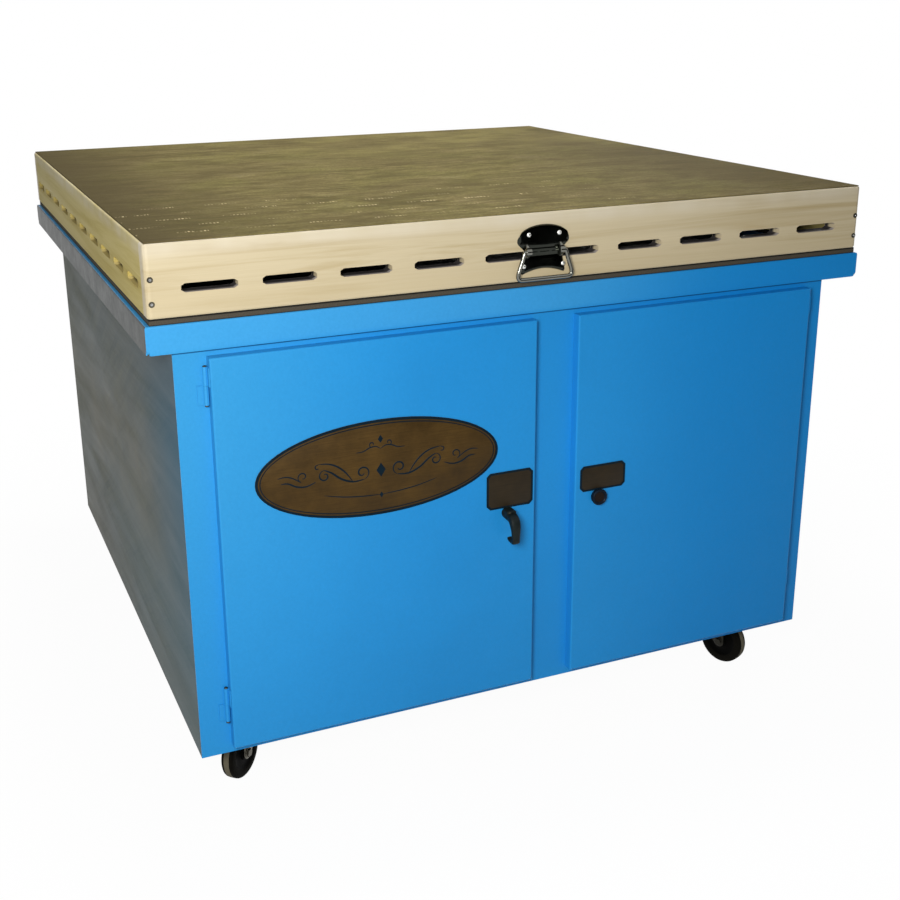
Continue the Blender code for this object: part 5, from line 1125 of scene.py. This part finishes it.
def make_hinge_pins():
    """Dark pin heads that stand out of the knuckles' ends."""
    data = bmesh.new()
    foot = [(0.003, 0.0002), (0.0034, -0.0004), (0.0034, -0.0022), (0.0026, -0.0032), (0, -0.0034)]
    head = [(0.003, -0.0002), (0.0031, 0.0006), (0.0024, 0.0014), (0, 0.0016)]
    for x in HINGE_X:
        for ends in KNUCKLES:
            for end, profile in zip(ends, (foot, head)):
                lathe(data, [(radius, end + rise) for radius, rise in profile], "Z", (x, HINGE_Y), 24)
    piece("hinge_pins", data, "screw", "cabinet")


def make_back_screws():
    """Screws of the rear hinge's two leaves, the exhaust grille and the power inlet's cover."""
    for name, level, body in (("rim", 0.7872, "cabinet"), ("apron", 0.8181, "lifting_top")):
        data = bmesh.new()
        for x in REAR_LEAF_SCREWS:
            domed(data, (x, TOP_BACK + GAP + HINGE_LEAF, level), (0, 1, 0), 0.0032, 0.0014)
        piece("rear_hinge_%s_screws" % name, data, "zinc", body)
    data = bmesh.new()
    for x in (0.0949, 0.2609):
        for z in (0.3484, 0.5399):
            domed(data, (x, GRILLE_FACE, z), (0, 1, 0), 0.0032, 0.0015)
    for x, z in ((0.3554, 0.298), (0.4174, 0.246)):
        domed(data, (x, INLET_FACE, z), (0, 1, 0), 0.0026, 0.0012)
    piece("back_screws", data, "zinc", "cabinet")


def make_blower_bolts():
    """Bolts round the scroll's motor plate and through the motor's end."""
    data = bmesh.new()
    y, z = BLOWER_AXIS
    for count, start, pitch, face, reach, size in (
            (6, 0, 36, SCROLL_FACE, 0.116, 0.004), (4, 45, 90, MOTOR_END, 0.05, 0.0038)):
        for step in range(count):
            angle = math.radians(start + pitch * step)
            spot = (face, y + reach * math.cos(angle), z + reach * math.sin(angle))
            hex_bolt(data, spot, (1, 0, 0), size, 0.003)
    piece("blower_bolts", data, "zinc", "cabinet")


# Filter cartridges
FINE_PLEATS = 80
CLOSED_END = -0.477
OPEN_END = 0.0226
PLEAT_RADII = ((0.15, 0.1365), (0.104, 0.095))
END_THICKNESS = 0.006
BAND_PLACES = (-0.357, -0.227, -0.097)


def make_cartridge(name, centre):
    """Finely pleated paper round an open core, three bands, a pan at one end and a collar at the other."""
    data = bmesh.new()
    outlines = [[(centre[0] + radii[step % 2] * c, centre[1] + radii[step % 2] * s)
                 for step, (c, s) in enumerate(circle(2 * FINE_PLEATS))] for radii in PLEAT_RADII]
    band(data, *outlines, "X", CLOSED_END + END_THICKNESS, OPEN_END - END_THICKNESS)
    piece(name + "_pleats", data, "media", "cabinet", (name,), smooth=False)
    data = bmesh.new()
    for place in BAND_PLACES:
        loop = [(0.1497, place - 0.003), (0.1512, place - 0.0024), (0.1512, place + 0.0024),
                (0.1497, place + 0.003)]
        lathe(data, loop, "X", centre, 96, loop=True)
    piece(name + "_bands", data, "strap", "cabinet")
    pan = [(0, 0.0016), (0.052, 0.0016), (0.056, 0), (0.088, 0), (0.092, 0.0016), (0.118, 0.0016),
           (0.122, 0), (0.1475, 0), (0.152, 0.0012), (0.154, 0.004), (0.154, 0.0112), (0.1532, 0.012),
           (0.1372, 0.012), (0.1366, 0.006), (0, 0.006)]
    data = lathe(bmesh.new(), [(radius, CLOSED_END + along) for radius, along in pan], "X", centre, 96)
    collar = [(0.095, 0.012), (0.1532, 0.012), (0.154, 0.0112), (0.154, 0.0008), (0.1532, 0), (0.095, 0)]
    lathe(data, [(radius, OPEN_END - along) for radius, along in collar], "X", centre, 96, loop=True)
    piece(name + "_ends", data, "galvanised", "cabinet")


make_hinge_pins()
make_back_screws()
make_blower_bolts()
make_cartridge("front_cartridge", (-0.228, 0.45))
make_cartridge("rear_cartridge", (0.192, 0.45))

# Sign plates, left blank
OVAL_CENTRE = (-0.2792, 0.5468)
OVAL_HALF = (0.1972, 0.0765)
LEFT_NOTICE = ((-0.06, 0.475), 0.082, 0.0622)
RIGHT_NOTICE = ((0.1112, 0.4695), 0.0848, 0.0445)
PLATE_FACE = DOOR_FACE - 0.0012
PLATE_BACK = DOOR_FACE - 0.0001
BORDER_LEVELS = (PLATE_FACE - 0.0003, PLATE_FACE + 0.0002)
NOTICE_BORDER = 0.0032
CLIP = 0.006


def make_oval():
    data = slab(bmesh.new(), oval_outline(OVAL_CENTRE, *OVAL_HALF), "Y", PLATE_FACE, PLATE_BACK, 0.0004)
    piece("oval_plate", data, "oval", "left_leaf")
    data = bmesh.new()
    for insets in ((0.0002, 0.0042), (0.0066, 0.0082)):
        rims = [oval_outline(OVAL_CENTRE, OVAL_HALF[0] - inset, OVAL_HALF[1] - inset) for inset in insets]
        band(data, *rims, "Y", *BORDER_LEVELS)
    piece("oval_plate_border", data, "engraved", "left_leaf")


def spiral(centre, start, end, first, last, steps=14):
    """Points of a spiral from radius start to end between two angles in degrees."""
    points = []
    for step in range(steps + 1):
        t = step / steps
        angle = math.radians(first + (last - first) * t)
        radius = start + (end - start) * t
        points.append((centre[0] + radius * math.cos(angle), centre[1] + radius * math.sin(angle)))
    return points


def make_scrolls():
    """Plain leaf scrolls across the sign, the same on both sides of a small diamond."""
    strokes = [
        (spiral((0.03, -0.004), 0.0115, 0.003, 250, -150), 0.0013),
        ([(0.0265, -0.015), (0.045, -0.0165), (0.064, -0.009), (0.079, 0.003), (0.091, 0.009)], 0.0016),
        (spiral((0.09, -0.0005), 0.0095, 0.0026, 84, -300), 0.0012),
        ([(0.046, -0.0155), (0.056, -0.001), (0.069, 0.011), (0.083, 0.0175), (0.098, 0.0195)], 0.0013),
        ([(0.098, 0.0195), (0.104, 0.017), (0.103, 0.0125), (0.0985, 0.0125)], 0.001),
        ([(0.104, -0.0075), (0.119, -0.0125), (0.134, -0.0105), (0.147, -0.0035), (0.158, -0.003)], 0.0013),
        (spiral((0.124, 0.0035), 0.0085, 0.0024, -70, 290), 0.001),
        ([(0.127, -0.005), (0.139, 0.0035), (0.151, 0.0075), (0.163, 0.006)], 0.001),
        ([(0.0, 0.03), (0.008, 0.0345), (0.018, 0.0335), (0.028, 0.029), (0.04, 0.0285)], 0.001),
        (spiral((0.0135, 0.0385), 0.005, 0.0016, -90, 220), 0.0009),
        ([(0.0, -0.044), (0.03, -0.0425), (0.062, -0.0385), (0.092, -0.0315)], 0.0009),
    ]
    data = bmesh.new()
    x, z = OVAL_CENTRE
    for points, thick in strokes:
        for side in (-1, 1):
            path = smooth_path([(x + side * px, PLATE_FACE, z + pz) for px, pz in points], 3)
            tube(data, path, lambda t: thick * (0.25 + 0.75 * math.sin(math.pi * t) ** 0.6), 8)
    for up, size in ((-0.004, 0.0075), (0.0455, 0.0042), (-0.0445, 0.0032)):
        diamond = [(x + c * size, z + up + s * size * 1.5) for c, s in ((1, 0), (0, 1), (-1, 0), (0, -1))]
        slab(data, diamond, "Y", PLATE_FACE - 0.0006, PLATE_FACE + 0.0003, 0.0002)
    flatten = Matrix.Translation((0, PLATE_FACE, 0)) @ Matrix.Diagonal((1, 0.4, 1, 1))
    bmesh.ops.transform(data, verts=data.verts, matrix=flatten @ Matrix.Translation((0, -PLATE_FACE, 0)))
    piece("oval_plate_scrolls", data, "engraved", "left_leaf")


def make_notice(name, centre, width, height, body):
    outline = clipped_outline(centre, width, height, CLIP)
    data = slab(bmesh.new(), outline, "Y", PLATE_FACE, PLATE_BACK, 0.0003)
    piece(name, data, "notice", body)
    outer = clipped_outline(centre, width - 0.0002, height - 0.0002, CLIP)
    inner = clipped_outline(centre, width - 2 * NOTICE_BORDER, height - 2 * NOTICE_BORDER, CLIP * 0.8)
    data = band(bmesh.new(), outer, inner, "Y", *BORDER_LEVELS)
    piece(name + "_border", data, "engraved", body)


make_oval()
make_scrolls()
make_notice("left_notice_plate", *LEFT_NOTICE, "left_leaf")
make_notice("right_notice_plate", *RIGHT_NOTICE, "right_leaf")

# Stage: floor, world, lamps and camera
FLOOR_HALF = 14.0
FLOOR_INDIRECT = (0.45, 0.45, 0.45)
FLOOR_DIRECT = (0.9, 0.9, 0.9)
WHITE = (1.0, 1.0, 1.0)
SHADOW_SHARE = 0.965
SHADOW_REACH = (0.7, 1.8)
WORLD_STRENGTH = 0.17


def sheet_object(name, points, n):
    """A flat piece of the stage with one face and one material."""
    mesh = bpy.data.meshes.new(name)
    mesh.from_pydata(points, [], [(0, 1, 2, 3)])
    mesh.materials.append(n.owner)
    obj = new_object(name, mesh)
    return obj


def aim(obj, place, target, forward, up):
    """Puts a piece of the stage at a place, one of its axes towards a target."""
    obj.location = place
    obj.rotation_euler = (Vector(target) - Vector(place)).to_track_quat(forward, up).to_euler()


def make_floor():
    """White sweep. Its own light fades out near the object, so that the object's shadow shows faintly."""
    n = material("floor_white")
    n.tree.nodes.remove(n.tree.nodes["Principled BSDF"])
    direct = n.plain_rays()
    diffuse = n.value("ShaderNodeBsdfDiffuse", {"Color": n.mix(direct, FLOOR_INDIRECT, FLOOR_DIRECT)})
    light = n.value("ShaderNodeEmission", {"Color": WHITE, "Strength": 1.0})
    distance = n.value("ShaderNodeVectorMath", {0: n.coords()}, "Value", operation="LENGTH")
    share = direct * n.step(distance, *SHADOW_REACH, SHADOW_SHARE)
    surface = n.value("ShaderNodeMixShader", {0: share, 1: diffuse, 2: light})
    n.put(n.tree.nodes["Material Output"].inputs["Surface"], surface)
    half = FLOOR_HALF
    sheet_object("floor", [(-half, -half, 0), (half, -half, 0), (half, half, 0), (-half, half, 0)], n)


def make_flag(name, centre, facing, width, height):
    """A black cloth at the stage's edge, seen only in reflections, that keeps polished metal dark."""
    n = material(name + "_cloth")
    cloth = n.ramp(n.noise(60.0, 3.0, 0.6), (0.3, (0.01, 0.01, 0.01)), (0.7, (0.02, 0.02, 0.02)))
    n.set(cloth, 1.0, None, 0.0)
    x, z = width / 2, height / 2
    flag = sheet_object(name, [(-x, 0, -z), (x, 0, -z), (x, 0, z), (-x, 0, z)], n)
    aim(flag, centre, facing, "-Y", "Z")
    flag.visible_camera = False
    flag.visible_diffuse = False
    flag.visible_shadow = False


def make_world():
    """Soft cool light, with plain white where the camera or a reflection looks past the object."""
    world = bpy.data.worlds.new("studio")
    n = Nodes(world)
    n.tree.nodes.clear()
    soft = n.value("ShaderNodeBackground", {"Color": (0.97, 0.985, 1.0), "Strength": WORLD_STRENGTH})
    white = n.value("ShaderNodeBackground", {"Color": WHITE, "Strength": 1.0})
    surface = n.value("ShaderNodeMixShader", {0: n.plain_rays(), 1: soft, 2: white})
    n.add("ShaderNodeOutputWorld", {"Surface": surface})
    bpy.context.scene.world = world


def lamp(name, place, target, size, power, colour=WHITE):
    data = bpy.data.lights.new(name, "AREA")
    data.shape = "DISK"
    data.size = size
    data.energy = power
    data.color = colour
    aim(new_object(name, data), place, target, "-Z", "Y")


def make_camera():
    data = bpy.data.cameras.new("camera")
    data.lens = CAMERA_LENS
    data.sensor_width = 36
    data.sensor_fit = "HORIZONTAL"
    data.shift_x, data.shift_y = CAMERA_SHIFT
    az, el = CAMERA_AZIMUTH, CAMERA_ELEVATION
    look = Vector((math.sin(az) * math.cos(el), math.cos(az) * math.cos(el), -math.sin(el)))
    level = Vector((math.cos(az), -math.sin(az), 0))
    right = level * math.cos(CAMERA_ROLL) + level.cross(look) * math.sin(CAMERA_ROLL)
    matrix = Matrix((right, right.cross(look), -look)).transposed().to_4x4()
    matrix.translation = Vector(CAMERA_PLACE)
    camera = new_object("camera", data)
    camera.matrix_world = matrix
    bpy.context.scene.camera = camera


make_floor()
make_world()
make_flag("front_flag", (2.1, -3.3, 0.75), (0.0, -0.5, 0.75), 4.2, 2.6)
lamp("key", (-1.13, -2.05, 1.3), (-0.22, -0.55, 0.5), 0.65, 34.0, (1.0, 0.99, 0.97))
lamp("top", (-0.14, 0.25, 3.3), (-0.1, 0.2, 0.9), 0.7, 45.0)
lamp("back_fill", (2.4, 2.8, 0.7), (0.2, 0.3, 0.45), 1.2, 62.0)
make_camera()
bpy.context.scene.view_settings.view_transform = "Standard"
